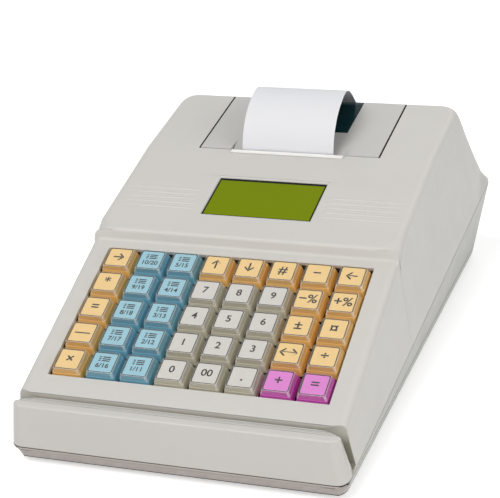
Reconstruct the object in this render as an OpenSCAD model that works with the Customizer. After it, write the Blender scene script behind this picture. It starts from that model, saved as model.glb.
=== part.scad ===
// Ticket register: a counter-top cash register with a keyboard, a display, a card slot
// and a receipt printer under a hinged lid. Millimetres, +Z up, operator at -Y.
// The origin is on the table, under the middle of the case.

/* [Case] */
// Length of the case, front face to rear wall
case_length = 318.8; // [312:0.2:326]
// Half the width of the flat top, edge to middle
top_half = 89.7; // [88:0.1:93]
// Half the width of the waist line at the front
waist_front_half = 92.8; // [92:0.1:95]
// Half the width of the waist line at the rear
waist_rear_half = 102; // [100:0.1:104]
// Height of the waist line at the front, above the case bottom
waist_front_z = 8; // [7:0.1:9]
// Height of the waist line at the rear, above the case bottom
waist_rear_z = 52.7; // [51:0.1:54]
// Half the width of the case bottom
bottom_half = 89.7; // [88:0.1:91]
// Thickness of the moulded walls
wall = 2.5; // [2.2:0.1:2.8]
// Radius of the long top edges
edge_r = 4; // [2:0.5:5]
// Radius of the corners at the rear
rear_corner_r = 12; // [9:0.5:14]
// Radius of the corners at the front, seen from above
front_corner_r = 8; // [5:0.5:9]
// Width of the shadow gap between the two halves of the case
seam = 0.6; // [0.4:0.1:0.8]

/* [Top surface] */
// Slope of the keyboard deck in degrees
key_tilt = 20.5; // [20:0.1:21]
// Front edge of the keyboard deck, behind the front face
deck_start = 12.6; // [12:0.1:13.4]
// Height of that edge above the case bottom
deck_z = 36.1; // [35.3:0.1:37.3]
// Length of the keyboard deck along its slope
deck_length = 115.9; // [115.5:0.1:118]
// Run of the step behind the keyboard
step_run = 1.5; // [1:0.1:3]
// Rise of the step behind the keyboard
step_rise = 6.4; // [5.5:0.1:7]
// How far the step fades out at the two sides
step_fade = 10; // [6:0.5:14]
// Slope of the display deck in degrees
display_tilt = 13; // [12.5:0.1:13.5]
// Length of the display deck, measured level
display_run = 85.4; // [84:0.1:86]
// Slope of the printer deck in degrees
lid_tilt = 8.5; // [8.2:0.1:8.8]
// Length of the printer deck, measured level
lid_run = 70; // [69:0.1:71]
// Radius of the edge where the top turns down to the rear
rear_edge_r = 8; // [6:0.5:9]

/* [Card slot] */
// Width of the slot that the card is swiped through
slot_gap = 4.4; // [4:0.1:4.6]
// Depth of the slot, square to the keyboard deck
slot_depth = 24; // [23:0.1:24.5]
// Length of the flared mouth at each end of the slot
slot_flare_length = 14; // [10:1:18]
// How much wider the slot gets at its mouth
slot_flare = 3; // [2:0.2:4]

/* [Keyboard] */
// Rows of keys
key_rows = 5; // [5:1:5]
// Keys in each row
key_columns = 8; // [8:1:8]
// Distance from key to key
key_pitch = 19.5; // [19.2:0.1:19.5]
// Width of a key at its skirt
key_skirt = 18.1; // [17.8:0.1:18.4]
// Width of a key at its top face
key_top = 15.1; // [14.6:0.1:15.4]
// Height of the top faces above the deck
key_proud = 2.9; // [2.5:0.1:3.2]
// Depth of the skirts below the deck
skirt_depth = 5.2; // [4.8:0.1:5.4]
// Travel of a key
key_travel = 3.5; // [3:0.1:3.8]
// Radius of a key stem
stem_r = 2.5; // [2.3:0.1:2.7]
// Clearance round a key stem
stem_play = 0.15; // [0.12:0.01:0.2]
// Edge of the well to the skirts of the outer keys
well_margin = 0.7; // [0.6:0.1:1]

/* [Display] */
// Width of the display window
window_w = 65.4; // [64:0.2:67]
// Length of the display window along the slope
window_l = 36.2; // [35:0.2:37.4]
// Near edge of the window from the top of the step, along the slope
window_start = 20.6; // [19:0.1:22]
// Lines moulded on each side of the display
rib_count = 5; // [3:1:6]
// Distance between those lines
rib_pitch = 4.6; // [4:0.1:5]

/* [Printer] */
// How far the display and the printer sit to the right of the middle
upper_shift = 1; // [0:0.1:1.5]
// Width of the lid
lid_w = 112.4; // [111:0.2:114]
// Length of the lid below the rear edge, along the rear slope
lid_drop = 27; // [26:0.5:29]
// Gap round the lid
lid_gap = 0.5; // [0.4:0.1:0.7]
// How far the lid swings open, in degrees
lid_opens = 95; // [85:1:100]
// Width of the window in the lid
view_w = 58.6; // [57:0.2:61]
// Start of that window behind the front edge of the lid
view_start = 27.2; // [26:0.1:29]
// Width of the receipt paper
paper_w = 57; // [56.5:0.1:57.5]
// Outer radius of the paper roll
roll_r = 28; // [26:0.5:28.5]
// Radius of the bore in the core of the roll
core_r = 6; // [5.5:0.1:6.5]
// Radius of the platen roller
platen_r = 5; // [4.8:0.1:5.2]
// Radius of the platen shaft
shaft_r = 2; // [1.8:0.1:2.2]
// Running clearance of a shaft in its hole
run_play = 0.06; // [0.04:0.01:0.09]
// Thickness of the paper as a solid
paper_t = 0.3; // [0.25:0.05:0.35]
// Height of the crest of the receipt above the case bottom
crest_z = 130.5; // [128:0.5:133]

/* [Base] */
// Height of the rubber feet
foot_h = 3; // [2.5:0.1:4]
// Radius of the rubber feet
foot_r = 7; // [6:0.5:8]
// Radius of the case screw shanks
screw_r = 1.5; // [1.4:0.05:1.6]

/* [Hidden] */
static_nodes = [
    "base_tray", "top_cover", "printer_lid", "lid_window", "tear_bar", "lcd_panel",
    "key_frame", "key_board", "main_board", "printer_frame", "print_head",
    "platen_roller", "feed_motor", "motor_pinion", "paper_roll", "paper_tape",
    "power_switch", "card_reader", "rubber_feet", "case_screws"];
function key_name(row, column) = str("key_row", row, "_col", column);

big = 400;                       // longer than any cut has to be
seam_in = 1;                     // depth of the shadow gap
part_gap = 0.05;                 // between pieces of one node that are made apart
front_y = -case_length / 2;      // front face
rear_y = case_length / 2;        // rear wall

// ---- top outline: [distance from the front, height above the case bottom] ----
bar_z = deck_z - deck_start * tan(key_tilt);
deck_end = deck_start + deck_length * cos(key_tilt);
deck_end_z = deck_z + deck_length * sin(key_tilt);
display_start = deck_end + step_run;
display_z = deck_end_z + step_rise;
lid_start = display_start + display_run;
lid_z = display_z + display_run * tan(display_tilt);
rear_edge = lid_start + lid_run;
rear_edge_z = lid_z + lid_run * tan(lid_tilt);
rear_end_z = waist_rear_z + 1.5;
rear_fall = atan((rear_edge_z - rear_end_z) / (case_length - rear_edge));

// The rounded rear edge, from the lid deck down to the rear slope
arc_steps = 6;
arc_reach = rear_edge_r * tan((lid_tilt + rear_fall) / 2);
arc_centre = [rear_edge - arc_reach * cos(lid_tilt) + rear_edge_r * sin(lid_tilt),
              rear_edge_z - arc_reach * sin(lid_tilt) - rear_edge_r * cos(lid_tilt)];
function arc_angle(i) = 90 + lid_tilt - i * (lid_tilt + rear_fall) / arc_steps;
function arc_points(centre, r) =
    [for (i = [0:arc_steps]) centre + r * [cos(arc_angle(i)), sin(arc_angle(i))]];
top_line = concat(
    [[0, bar_z], [deck_start, deck_z], [deck_end, deck_end_z], [display_start, display_z],
     [lid_start, lid_z]],
    arc_points(arc_centre, rear_edge_r),
    [[case_length, rear_end_z]]);

// The same line moved inwards, square to itself
function unit(v) = v / norm(v);
function left_of(v) = [-v[1], v[0]];
function segment_normal(line, i) =
    let (k = min(max(i, 0), len(line) - 2)) left_of(unit(line[k + 1] - line[k]));
function inset_line(line, t) = [
    for (i = [0:len(line) - 1])
        let (n = segment_normal(line, i), m = unit(n + segment_normal(line, i - 1)))
        line[i] - m * t / (m * n)];
inner_line = inset_line(top_line, wall);

// ---- widths ----
function waist_half(d) = waist_front_half
    + (waist_rear_half - waist_front_half) * d / case_length;
function waist_z(d) = waist_front_z + (waist_rear_z - waist_front_z) * d / case_length;
// How far a rounded end of radius r pulls the outline in at a distance d from that end
function round_in(d, r) = d >= r ? 0 : r - sqrt(r * r - (r - d) * (r - d));
function ends_in(d) = round_in(d, front_corner_r) + round_in(case_length - d, rear_corner_r);
bar_edge_r = 2;
front_stations = [0, 0.25, 0.9, 2, 3.6, 5.6, front_corner_r];
rear_stations = [for (s = [9, 5.5, 2.8, 1, 0.2]) case_length - s];

// Points that round the corner c, from ra towards a to rb towards b
fillet_steps = 5;
function fillet(a, c, b, ra, rb) = [for (i = [0:fillet_steps])
    let (t = i / fillet_steps, p = c + unit(a - c) * ra, q = c + unit(b - c) * rb)
    (1 - t) * (1 - t) * p + 2 * t * (1 - t) * c + t * t * q];
function mirrored(points) = [for (i = [len(points) - 1:-1:0]) [-points[i][0], points[i][1]]];
function to_section(points, d) = [for (p = points) [p[0], front_y + d, foot_h + p[1]]];

// Cross-section of the cover at d: t is the wall to leave, low drops the lower rim, where
// the side stands upright up to just below the waist
function cover_section(d, line, t, low) = let (
    zt = lookup(d, line) - (t == 0 ? round_in(d, bar_edge_r) : 0),
    zw = waist_z(d),
    wt = top_half - t - ends_in(d),
    ww = waist_half(d) - t - ends_in(d),
    turn = min(max((d - rear_edge + rear_corner_r) / rear_corner_r, 0), 1),
    fade = d < display_start ? 0 : max(0, 1 - (d - display_start) / step_fade),
    r = edge_r + (rear_corner_r - edge_r) * turn * turn + 5 * fade - t / 2,
    side_r = max(min(r * (1 + turn / 2), (zt - zw) * 0.7), 0.3),
    side = concat(low > 0 ? [[ww, zw - low], [ww, zw - 1]] : [[ww, zw]],
        fillet([ww, zw], [wt, zt], [0, zt], side_r, max(r, 0.3))))
    to_section(concat(side, mirrored(side)), d);

// Cross-section of the tray at d: t is the wall to leave, top moves the rim.
// The outer rim steps in by one seam_in, which leaves the shadow gap under the cover.
function tray_section(d, t, top) = let (
    nose = max(0, (waist_front_z - 1.2) * (1 - d / 3.9)),
    zb = t == 0 ? nose : wall,
    zw = waist_z(d) + top,
    wb = bottom_half - t - ends_in(d),
    ww = waist_half(d) - t - ends_in(d),
    rim = t > 0 ? [[ww, zw]] : [[ww, zw - seam], [ww - seam_in, zw - seam], [ww - seam_in, zw]],
    side = concat([[wb - 1.5, zb], [wb - 0.2, zb + min(1.2, (zw - seam - zb) / 3)]], rim))
    to_section(concat([[0, zb]], side, mirrored(side)), d);

// Skin through sections with equal numbers of points, each anticlockwise as seen from
// the first section's side
module loft(sections) {
    n = len(sections[0]);
    m = len(sections);
    sides = [for (k = [0:m - 2]) for (i = [0:n - 1]) let (j = (i + 1) % n, a = k * n, b = a + n)
        each [[a + i, b + j, b + i], [a + i, a + j, b + j]]];
    ends = [[for (i = [0:n - 1]) (n - i) % n], [for (i = [0:n - 1]) (m - 1) * n + i]];
    polyhedron([for (s = sections) each s], concat(ends, sides));
}

// Extrudes a side-view outline [y, z] across the case, from x0 to x1
module across(x0, x1) {
    translate([x0, 0, 0]) rotate([90, 0, 90]) linear_extrude(x1 - x0) children();
}
module cyl_x(x0, x1, y, z, r, fn = 48) {
    translate([x0, y, z]) rotate([0, 90, 0]) cylinder(h = x1 - x0, r = r, $fn = fn);
}
module block(low, high) {
    translate(low) cube(high - low);
}
// Frames whose Y runs up a deck and whose Z is square to it
module deck_frame() {
    translate([0, front_y + deck_start, foot_h + deck_z]) rotate([key_tilt, 0, 0]) children();
}
module display_frame() {
    translate([0, front_y + display_start, foot_h + display_z])
        rotate([display_tilt, 0, 0]) children();
}
module printer_line() {
    translate([upper_shift, 0, 0]) children();
}
function at(point) = [front_y + point[0], foot_h + point[1]];

// ---- keyboard places ----
keys_l = key_rows * key_pitch;
keys_w = key_columns * key_pitch;
keys_mid = 60.7;                                      // middle row, up the deck
well_half = (keys_w - key_pitch + key_skirt) / 2 + well_margin;
well_l_half = (keys_l - key_pitch + key_skirt) / 2 + well_margin;
function key_x(column) = (column - (key_columns + 1) / 2) * key_pitch;
function key_y(row) = keys_mid + ((key_rows + 1) / 2 - row) * key_pitch;
frame_top = -(skirt_depth + key_travel + 0.6);        // top of the guide plate
frame_t = 2;
frame_low = frame_top - frame_t;
frame_rim = 2;
frame_side = 9.7;                                     // from the guide plate to the case side
frame_half = top_half - frame_side;
housing_w = 13.4;
housing_h = 7.4;
board_top = frame_low - housing_h;
board_t = 1.6;
stem_end = board_top + key_travel + 0.7;
shoulder_z = -0.6;                                    // where the clear hood starts
hood_t = 1.2;
post_w = key_top - 1.6;

// ---- printer places, [y, z] in the case ----
slot_plane = at([lid_start - 0.7, 0])[0];             // the paper rises in this plane
platen_at = [slot_plane + paper_t / 2 + platen_r + 0.05, foot_h + 88];
roll_behind = 37.84;                                  // roll centre, behind the display deck
roll_at = at([lid_start + roll_behind, 58]);
roll_play = 0.4;
cheek_in = paper_w / 2 + 1.1;                         // side plates of the printer
cheek_t = 2;
cheek_out = cheek_in + cheek_t;
platen_half = paper_w / 2 + 0.5;
gear_module = 0.5;
platen_teeth = 32;
pinion_teeth = 16;
gear_gap = 0.12;
gear_w = 4;
gear_x = cheek_out + 0.5;
gear_reach = gear_module * (platen_teeth + pinion_teeth) / 2 + gear_gap;
motor_dir = -60;                                      // from the platen to the motor
motor_at = platen_at + gear_reach * [cos(motor_dir), sin(motor_dir)];
motor_plate_x = gear_x + gear_w + 0.6;
motor_plate_t = 1.5;
motor_r = 10;
motor_l = 13;

// ---- lid ----
hinge_r = 3.2;
lid_t = wall;
slope_dir = [cos(rear_fall), -sin(rear_fall)];
hinge_at = at([rear_edge, rear_edge_z] + slope_dir * lid_drop
    - left_of(slope_dir) * hinge_r);
lid_half = lid_w / 2;
pin_r = 1.5;
pin_l = 3;
exit_l = 1.8;                                         // paper exit before the lid
notch_half = 36;
notch_l = 10;
pane_t = 1.75;                                        // window pane of the lid
pane_play = 0.15;
view_end = 19;                                        // down the rear slope
bar_half = 35;                                        // tear bar
bar_l = 2.2;
bar_t = 1.5;
bar_sunk = 0.6;                                       // part of bar_t below the deck
bar_at = at([lid_start - exit_l, lid_z - exit_l * tan(display_tilt)]);

// ---- base places ----
feet_at = [for (x = [-1, 1]) for (y = [front_y + 24, rear_y - 24]) [x * 74, y]];
boss_x = 84.6;
boss_y = [front_y + 54, front_y + 168, rear_y - 48];
bosses_at = [for (x = [-1, 1]) for (y = boss_y) [x * boss_x, y]];
function boss_z(y) = foot_h + waist_z(y - front_y) + 3;
boss_r = 4;
post_x = 38;
pillar_y = [roll_at[0] - 38, roll_at[0] + 24];
pillar_r = 3.5;
frame_foot_z = foot_h + 24;
board_z = foot_h + wall + 5.5;                        // underside of the main board
board_half = 76;
board_ahead = 21.6;                                   // board in front of the rear pillars
board_y = [pillar_y[1] - board_ahead, rear_y - wall - 0.6];
jack_x = -62;
serial_x = -24;
drawer_x = 18;
switch_at = [60, foot_h + 30];
switch_recess = 3;

// ==================================================================== case

// Where a line bends, and the stations that shape the step and the rear corners
function stations_on(line, from, to) = [for (d = concat(
    [for (i = [0:3]) line[i][0]], [for (i = [1:3]) display_start + step_fade * i / 3],
    [line[4][0]], [for (i = [0:2]) rear_edge - rear_corner_r * (1 - i * 0.25)],
    [for (i = [5:len(line) - 1]) line[i][0]])) if (d > from && d < to) d];

module case_skin(t, low) {
    line = t == 0 ? top_line : inner_line;
    stations = t == 0
        ? concat(front_stations, stations_on(top_line, front_corner_r, case_length - 10),
            rear_stations, [case_length])
        : concat([30], stations_on(inner_line, 31, case_length - 14),
            [case_length - 11, case_length - 7, case_length - 4.5]);
    loft([for (d = stations) cover_section(d, line, t, low)]);
}

module tray_skin(t, top) {
    stations = t == 0
        ? concat(front_stations, [60, 180], rear_stations, [case_length])
        : [wall + 3.5, 12, 60, 180, case_length - 12, case_length - 7, case_length - wall - 1,
           case_length - wall];
    loft([for (d = stations) tray_section(d, t, top)]);
}

module card_slot() {
    deck_frame() {
        block([-big / 2, -slot_gap, -slot_depth], [big / 2, 0, 10]);
        // Flared mouths: the bar bends away from the card at both ends
        for (s = [-1, 1]) translate([0, 0, -slot_depth]) linear_extrude(slot_depth + 10)
            polygon([for (p = [[-slot_flare_length, 0.1], [-slot_flare_length, 0],
                [5, -slot_flare], [5, 0.1]]) [s * (waist_front_half + p[0]), p[1] - slot_gap]]);
    }
}

module top_cover() {
    color([0.80, 0.79, 0.77]) difference() {
        case_skin(0, 0);
        // Hollow, with the screw bosses left standing
        difference() {
            union() {
                case_skin(wall, 8);
                // room between the slanted slot wall and the hollow
                deck_frame() block([-(top_half - wall - 1), wall, -slot_depth - 8],
                    [top_half - wall - 1, 30, -wall]);
            }
            for (p = bosses_at) translate([p[0], p[1], boss_z(p[1])])
                cylinder(h = big, r = boss_r, $fn = 32);
        }
        for (p = bosses_at) translate([p[0], p[1], boss_z(p[1]) - 1])
            cylinder(h = 11, r = screw_r + 0.02, $fn = 32);
        card_slot();
        // Window for the nose of the card reader
        deck_frame() block([-6, -1, -18], [6, wall + 1, -9]);
        // Well for the keys
        deck_frame() block([-well_half, keys_mid - well_l_half, -20],
            [well_half, keys_mid + well_l_half, 20]);
        // Display window and the lines beside it
        display_frame() {
            block([upper_shift - window_w / 2, window_start, -10],
                [upper_shift + window_w / 2, window_start + window_l, 10]);
            for (s = [-1, 1]) for (i = [0:rib_count - 1])
                translate([s * (top_half + 37) / 2, window_start + 4.2 + i * rib_pitch, 0])
                    cube([top_half - 38, 0.9, 0.9], center = true);
        }
        // Opening for the lid, and the round seat of its hinge
        translate([upper_shift, 0, 0]) lid_opening();
    }
}

// Opening for the lid, the round seat of its hinge and the paper exit in front of it
module lid_opening() {
    low = foot_h + 40;
    high = foot_h + 200;
    front = at([lid_start, 0])[0];
    side = lid_half + lid_gap;
    block([-side, front - lid_gap, low],
        [side, hinge_at[0] + hinge_r * sin(rear_fall) + lid_gap, high]);
    cyl_x(-side, side, hinge_at[0], hinge_at[1], hinge_r + lid_gap);
    cyl_x(-side - pin_l, side + pin_l, hinge_at[0], hinge_at[1], pin_r + run_play);
    // Relief behind the hinge for the open lid
    translate([0, hinge_at[0], hinge_at[1]]) rotate([90 - rear_fall - lid_opens, 0, 0])
        block([-side, 0, 0], [side, hinge_r + lid_gap, 8]);
    block([-notch_half, front - exit_l, low], [notch_half, front + 1, high]);
    // Seat of the tear bar
    block([-bar_half - 0.1, bar_at[0] - bar_l - 0.1, bar_at[1] - bar_sunk - part_gap],
        [bar_half + 0.1, front, high]);
}

module base_tray() {
    color([0.74, 0.73, 0.71]) difference() {
        union() {
            difference() {
                tray_skin(0, -part_gap);
                tray_skin(wall, 6);
            }
            for (p = bosses_at) translate([p[0], p[1], foot_h + wall - 0.5])
                cylinder(h = boss_z(p[1]) - foot_h - wall + 0.5, r = boss_r, $fn = 32);
            for (s = [-1, 1]) for (y = pillar_y)
                translate([upper_shift + s * post_x, y, foot_h + 1])
                    cylinder(h = frame_foot_z - foot_h - 1, r = pillar_r, $fn = 32);
            for (x = [-1, 1]) for (y = [board_y[0] + 5, board_y[1] - 10])
                translate([x * (board_half - 5), y, foot_h + 1])
                    cylinder(h = board_z - foot_h - 1, r = 3, $fn = 32);
            block([switch_at[0] - 13.5, rear_y - wall - switch_recess, switch_at[1] - 10.5],
                [switch_at[0] + 13.5, rear_y - 1, switch_at[1] + 10.5]);
        }
        for (p = bosses_at) {
            translate([p[0], p[1], foot_h - 1])
                cylinder(h = big, r = screw_r + 0.3, $fn = 32);
            translate([p[0], p[1], foot_h - 1]) cylinder(h = 4.2, r = 3.2, $fn = 32);
        }
        // Ports in the rear wall
        block([jack_x - 5, rear_y - 5, board_z + board_t], [jack_x + 5, rear_y + 1, board_z + 13]);
        block([serial_x - 16, rear_y - 5, board_z + board_t],
            [serial_x + 16, rear_y + 1, board_z + 14.6]);
        block([drawer_x - 7, rear_y - 5, board_z + board_t],
            [drawer_x + 7, rear_y + 1, board_z + 15]);
        // Recess and cut-out of the power switch
        block([switch_at[0] - 11.5, rear_y - switch_recess, switch_at[1] - 8.5],
            [switch_at[0] + 11.5, rear_y + 1, switch_at[1] + 8.5]);
        block([switch_at[0] - 9.7, rear_y - 9, switch_at[1] - 6.6],
            [switch_at[0] + 9.7, rear_y + 1, switch_at[1] + 6.6]);
    }
}

module rubber_feet() {
    color([0.1, 0.1, 0.1]) for (p = feet_at) translate([p[0], p[1], 0])
        cylinder(h = foot_h, r = foot_r, $fn = 48);
}

module case_screws() {
    color([0.6, 0.6, 0.62]) for (p = bosses_at) translate([p[0], p[1], foot_h]) {
        difference() {
            translate([0, 0, 1]) cylinder(h = 2.2, r = 2.9, $fn = 32);
            block([-2, -0.4, 0], [2, 0.4, 1.8]);
            block([-0.4, -2, 0], [0.4, 2, 1.8]);
        }
        translate([0, 0, 3.2]) cylinder(h = boss_z(p[1]) - foot_h - 3.2 + 8, r = screw_r - 0.03,
            $fn = 32);
    }
}

// ==================================================================== keyboard

key_yellow = [0.91, 0.80, 0.55];
key_blue = [0.65, 0.80, 0.84];
key_white = [0.85, 0.84, 0.81];
key_magenta = [0.85, 0.51, 0.80];

function is_number_block(row, column) = column >= 4 && column <= 6;
function key_colour(row, column) =
    row == key_rows && column >= 7 ? key_magenta
    : column == 2 || column == 3 ? key_blue
    : row > 1 && is_number_block(row, column) ? key_white
    : key_yellow;

// A square with rounded corners at height z, as one section of a key
function key_section(w, r, z) = [
    for (q = [0:3]) for (a = [0, 45, 90]) let (t = q * 90 + a, c = q * 90 + 45)
        [(w / 2 - r) * sqrt(2) * cos(c) + r * cos(t), (w / 2 - r) * sqrt(2) * sin(c) + r * sin(t), z]];
shoulder_w = key_top + (key_skirt - key_top) * (key_proud - shoulder_z)
    / (key_proud + skirt_depth);

module key_cap() {
    inside = key_skirt - 3.4;
    difference() {
        loft([key_section(shoulder_w, 1.2, shoulder_z), key_section(key_skirt, 0.9, -skirt_depth)]);
        difference() {
            block([-inside / 2, -inside / 2, -skirt_depth - 1], [inside / 2, inside / 2, -2.4]);
            translate([0, 0, -skirt_depth - 2]) cylinder(h = skirt_depth, r = stem_r + 1, $fn = 32);
        }
    }
    block([-post_w / 2, -post_w / 2, shoulder_z - 0.5],
        [post_w / 2, post_w / 2, key_proud - hood_t - part_gap]);
    translate([0, 0, stem_end]) cylinder(h = -2 - stem_end, r = stem_r, $fn = 32);
}

module key_hood() {
    difference() {
        loft([key_section(key_top - 0.9, 1.2, key_proud), key_section(key_top, 1.5, key_proud - 0.5),
            key_section(shoulder_w, 1.2, shoulder_z + part_gap)]);
        block([-post_w / 2 - part_gap, -post_w / 2 - part_gap, shoulder_z - 1],
            [post_w / 2 + part_gap, post_w / 2 + part_gap, key_proud - hood_t]);
    }
}

module key(row, column) {
    deck_frame() translate([key_x(column), key_y(row), 0]) {
        color(key_colour(row, column)) key_cap();
        color([0.93, 0.93, 0.91, 0.4]) key_hood();
    }
}

module key_frame() {
    color([0.16, 0.15, 0.14]) deck_frame() difference() {
        block([-frame_half, keys_mid - well_l_half - frame_rim, frame_low],
            [frame_half, keys_mid + well_l_half + frame_rim, -wall]);
        block([-well_half, keys_mid - well_l_half, frame_top],
            [well_half, keys_mid + well_l_half, 0]);
        for (row = [1:key_rows]) for (column = [1:key_columns])
            translate([key_x(column), key_y(row), frame_low - 1])
                cylinder(h = frame_t + 2, r = stem_r + stem_play, $fn = 32);
    }
}

module key_board() {
    deck_frame() {
        color([0.13, 0.36, 0.20])
            block([-well_half - 1, keys_mid - well_l_half - 1, board_top - board_t],
                [well_half + 1, keys_mid + well_l_half + 1, board_top]);
        color([0.12, 0.12, 0.12]) for (row = [1:key_rows]) for (column = [1:key_columns])
            translate([key_x(column), key_y(row), board_top]) difference() {
                block([-housing_w / 2, -housing_w / 2, 0], [housing_w / 2, housing_w / 2, housing_h]);
                translate([0, 0, 0.6]) cylinder(h = housing_h, r = stem_r + stem_play, $fn = 32);
            }
    }
}

module card_reader() {
    color([0.2, 0.2, 0.22]) deck_frame() difference() {
        union() {
            block([-16, wall, -21], [16, 8.4, -5]);
            block([-4.5, 0.4, -17], [4.5, wall + 0.1, -10]);
            translate([0, 3.4, -17]) cylinder(h = 7, r = 3.8, $fn = 48);
        }
        for (x = [-12, 12]) translate([x, 5.4, -22]) cylinder(h = 18, r = 1.2, $fn = 24);
    }
}

// ==================================================================== display

module lcd_panel() {
    mid = window_start + window_l / 2;
    play = 0.35;
    display_frame() translate([upper_shift, mid, 0]) {
        color([0.46, 0.53, 0.04]) block([-window_w / 2 + play, -window_l / 2 + play, -wall],
            [window_w / 2 - play, window_l / 2 - play, -1]);
        color([0.1, 0.1, 0.1]) block([-window_w / 2 - 4, -window_l / 2 - 4, -wall - 5],
            [window_w / 2 + 4, window_l / 2 + 4, -wall - part_gap]);
        color([0.13, 0.36, 0.20]) difference() {
            block([-window_w / 2 - 9, -window_l / 2 - 8, -wall - 6.6],
                [window_w / 2 + 9, window_l / 2 + 8, -wall - 5 - part_gap]);
            for (x = [-1, 1]) for (y = [-1, 1])
                translate([x * (window_w / 2 + 6), y * (window_l / 2 + 5), -wall - 8])
                    cylinder(h = 4, r = 1.6, $fn = 24);
        }
    }
}

// ==================================================================== lid

// Side view of a sheet that follows the lid deck, the rear edge and the rear slope
module lid_profile(from, depth, t, slope_l) {
    outer = inset_line(top_line, depth);
    inner = inset_line(top_line, depth + t);
    n = len(top_line);
    corner = [rear_edge, rear_edge_z] - left_of(slope_dir) * depth;
    corner_in = [rear_edge, rear_edge_z] - left_of(slope_dir) * (depth + t);
    start = [lid_start + from, lid_z + from * tan(lid_tilt)];
    up = [-sin(lid_tilt), cos(lid_tilt)];
    polygon([for (p = concat(
        [start - up * depth], [for (i = [5:n - 2]) outer[i]], [corner + slope_dir * slope_l],
        [corner_in + slope_dir * slope_l], [for (i = [n - 2:-1:5]) inner[i]],
        [start - up * (depth + t)])) at(p)]);
}

module printer_lid() {
    side = 1.8;
    color([0.80, 0.79, 0.77]) difference() {
        union() {
            across(-lid_half, lid_half) lid_profile(0, 0, lid_t, lid_drop);
            for (x = [-lid_half, lid_half - side]) across(x, x + side)
                lid_profile(3, lid_t - 0.1, 4, lid_drop - 7);
            cyl_x(-lid_half, lid_half, hinge_at[0], hinge_at[1], hinge_r);
            cyl_x(-lid_half - pin_l, lid_half + pin_l, hinge_at[0], hinge_at[1], pin_r);
        }
        // Opening of the window, with a ledge all round that carries the pane
        across(-view_w / 2, view_w / 2) lid_profile(view_start, -1, 1 + pane_t + part_gap, view_end);
        across(-view_w / 2 + 1.5, view_w / 2 - 1.5)
            lid_profile(view_start + 1.5, -1, 8, view_end - 1.5);
        // Sloping notch that the receipt comes out of
        across(-notch_half, notch_half) polygon([for (p = [
            [lid_start - 1, lid_z - lid_t - 1], [lid_start + 0.6, lid_z - lid_t],
            [lid_start + notch_l, lid_z + notch_l * tan(lid_tilt) + 0.01],
            [lid_start + notch_l, lid_z + 10], [lid_start - 1, lid_z + 10]]) at(p)]);
    }
}

module lid_window() {
    color([0.03, 0.20, 0.21]) across(-view_w / 2 + pane_play, view_w / 2 - pane_play)
        lid_profile(view_start + pane_play, 0, pane_t, view_end - pane_play);
}

module tear_bar() {
    teeth = 35;
    low = bar_at[1] - bar_sunk;
    color([0.95, 0.95, 0.94]) difference() {
        union() {
            block([-bar_half, bar_at[0] - bar_l, low], [bar_half, bar_at[0] + 0.5, low + bar_t]);
            block([-bar_half, bar_at[0], low - 4.4], [bar_half, bar_at[0] + 0.5, low + 1]);
        }
        for (i = [0:teeth]) translate([-bar_half + i * 2 * bar_half / teeth, bar_at[0] + 0.5, low])
            rotate([0, 0, 45]) cube([0.6, 0.6, 4 * bar_t], center = true);
    }
}

// ==================================================================== printer

module gear_outline(teeth) {
    pitch_r = gear_module * teeth / 2;
    tip = pitch_r + gear_module * 0.85;
    root = pitch_r - gear_module * 1.15;
    step = 360 / teeth;
    polygon([for (i = [0:teeth - 1]) for (p = [[root, -0.30], [pitch_r, -0.215], [tip, -0.10],
        [tip, 0.10], [pitch_r, 0.215], [root, 0.30]])
        p[0] * [cos((i + p[1]) * step), sin((i + p[1]) * step)]]);
}

module platen_roller() {
    color([0.12, 0.12, 0.12]) difference() {
        cyl_x(-platen_half, platen_half, platen_at[0], platen_at[1], platen_r);
        cyl_x(-platen_half - 1, platen_half + 1, platen_at[0], platen_at[1], shaft_r + part_gap);
    }
    color([0.7, 0.7, 0.72])
        cyl_x(-cheek_out - 1, gear_x + 1, platen_at[0], platen_at[1], shaft_r);
    color([0.85, 0.85, 0.82]) translate([gear_x, platen_at[0], platen_at[1]])
        rotate([motor_dir, 0, 0]) rotate([90, 0, 90]) linear_extrude(gear_w)
            gear_outline(platen_teeth);
}

module motor_pinion() {
    turn = 180 + 180 / pinion_teeth;
    color([0.75, 0.65, 0.35]) translate([gear_x + 0.3, motor_at[0], motor_at[1]])
        rotate([motor_dir, 0, 0]) rotate([90, 0, 90]) linear_extrude(gear_w - 0.6)
            rotate(turn) gear_outline(pinion_teeth);
    color([0.7, 0.7, 0.72]) cyl_x(gear_x + gear_w - 0.3, motor_plate_x + 5, motor_at[0], motor_at[1],
        1, 32);
}

module feed_motor() {
    x0 = motor_plate_x + motor_plate_t;
    color([0.66, 0.66, 0.68]) difference() {
        union() {
            cyl_x(x0, x0 + motor_l, motor_at[0], motor_at[1], motor_r, 64);
            for (s = [-1, 1]) cyl_x(x0, x0 + 1, motor_at[0] + s * 10.5 * cos(motor_dir),
                motor_at[1] + s * 10.5 * sin(motor_dir), 3, 32);
            block([x0 + 3, motor_at[0] - 5, motor_at[1] - 12], [x0 + 9, motor_at[0] + 5, motor_at[1]]);
        }
        cyl_x(x0 - 1, x0 + 6, motor_at[0], motor_at[1], 1 + run_play, 32);
    }
}

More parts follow.
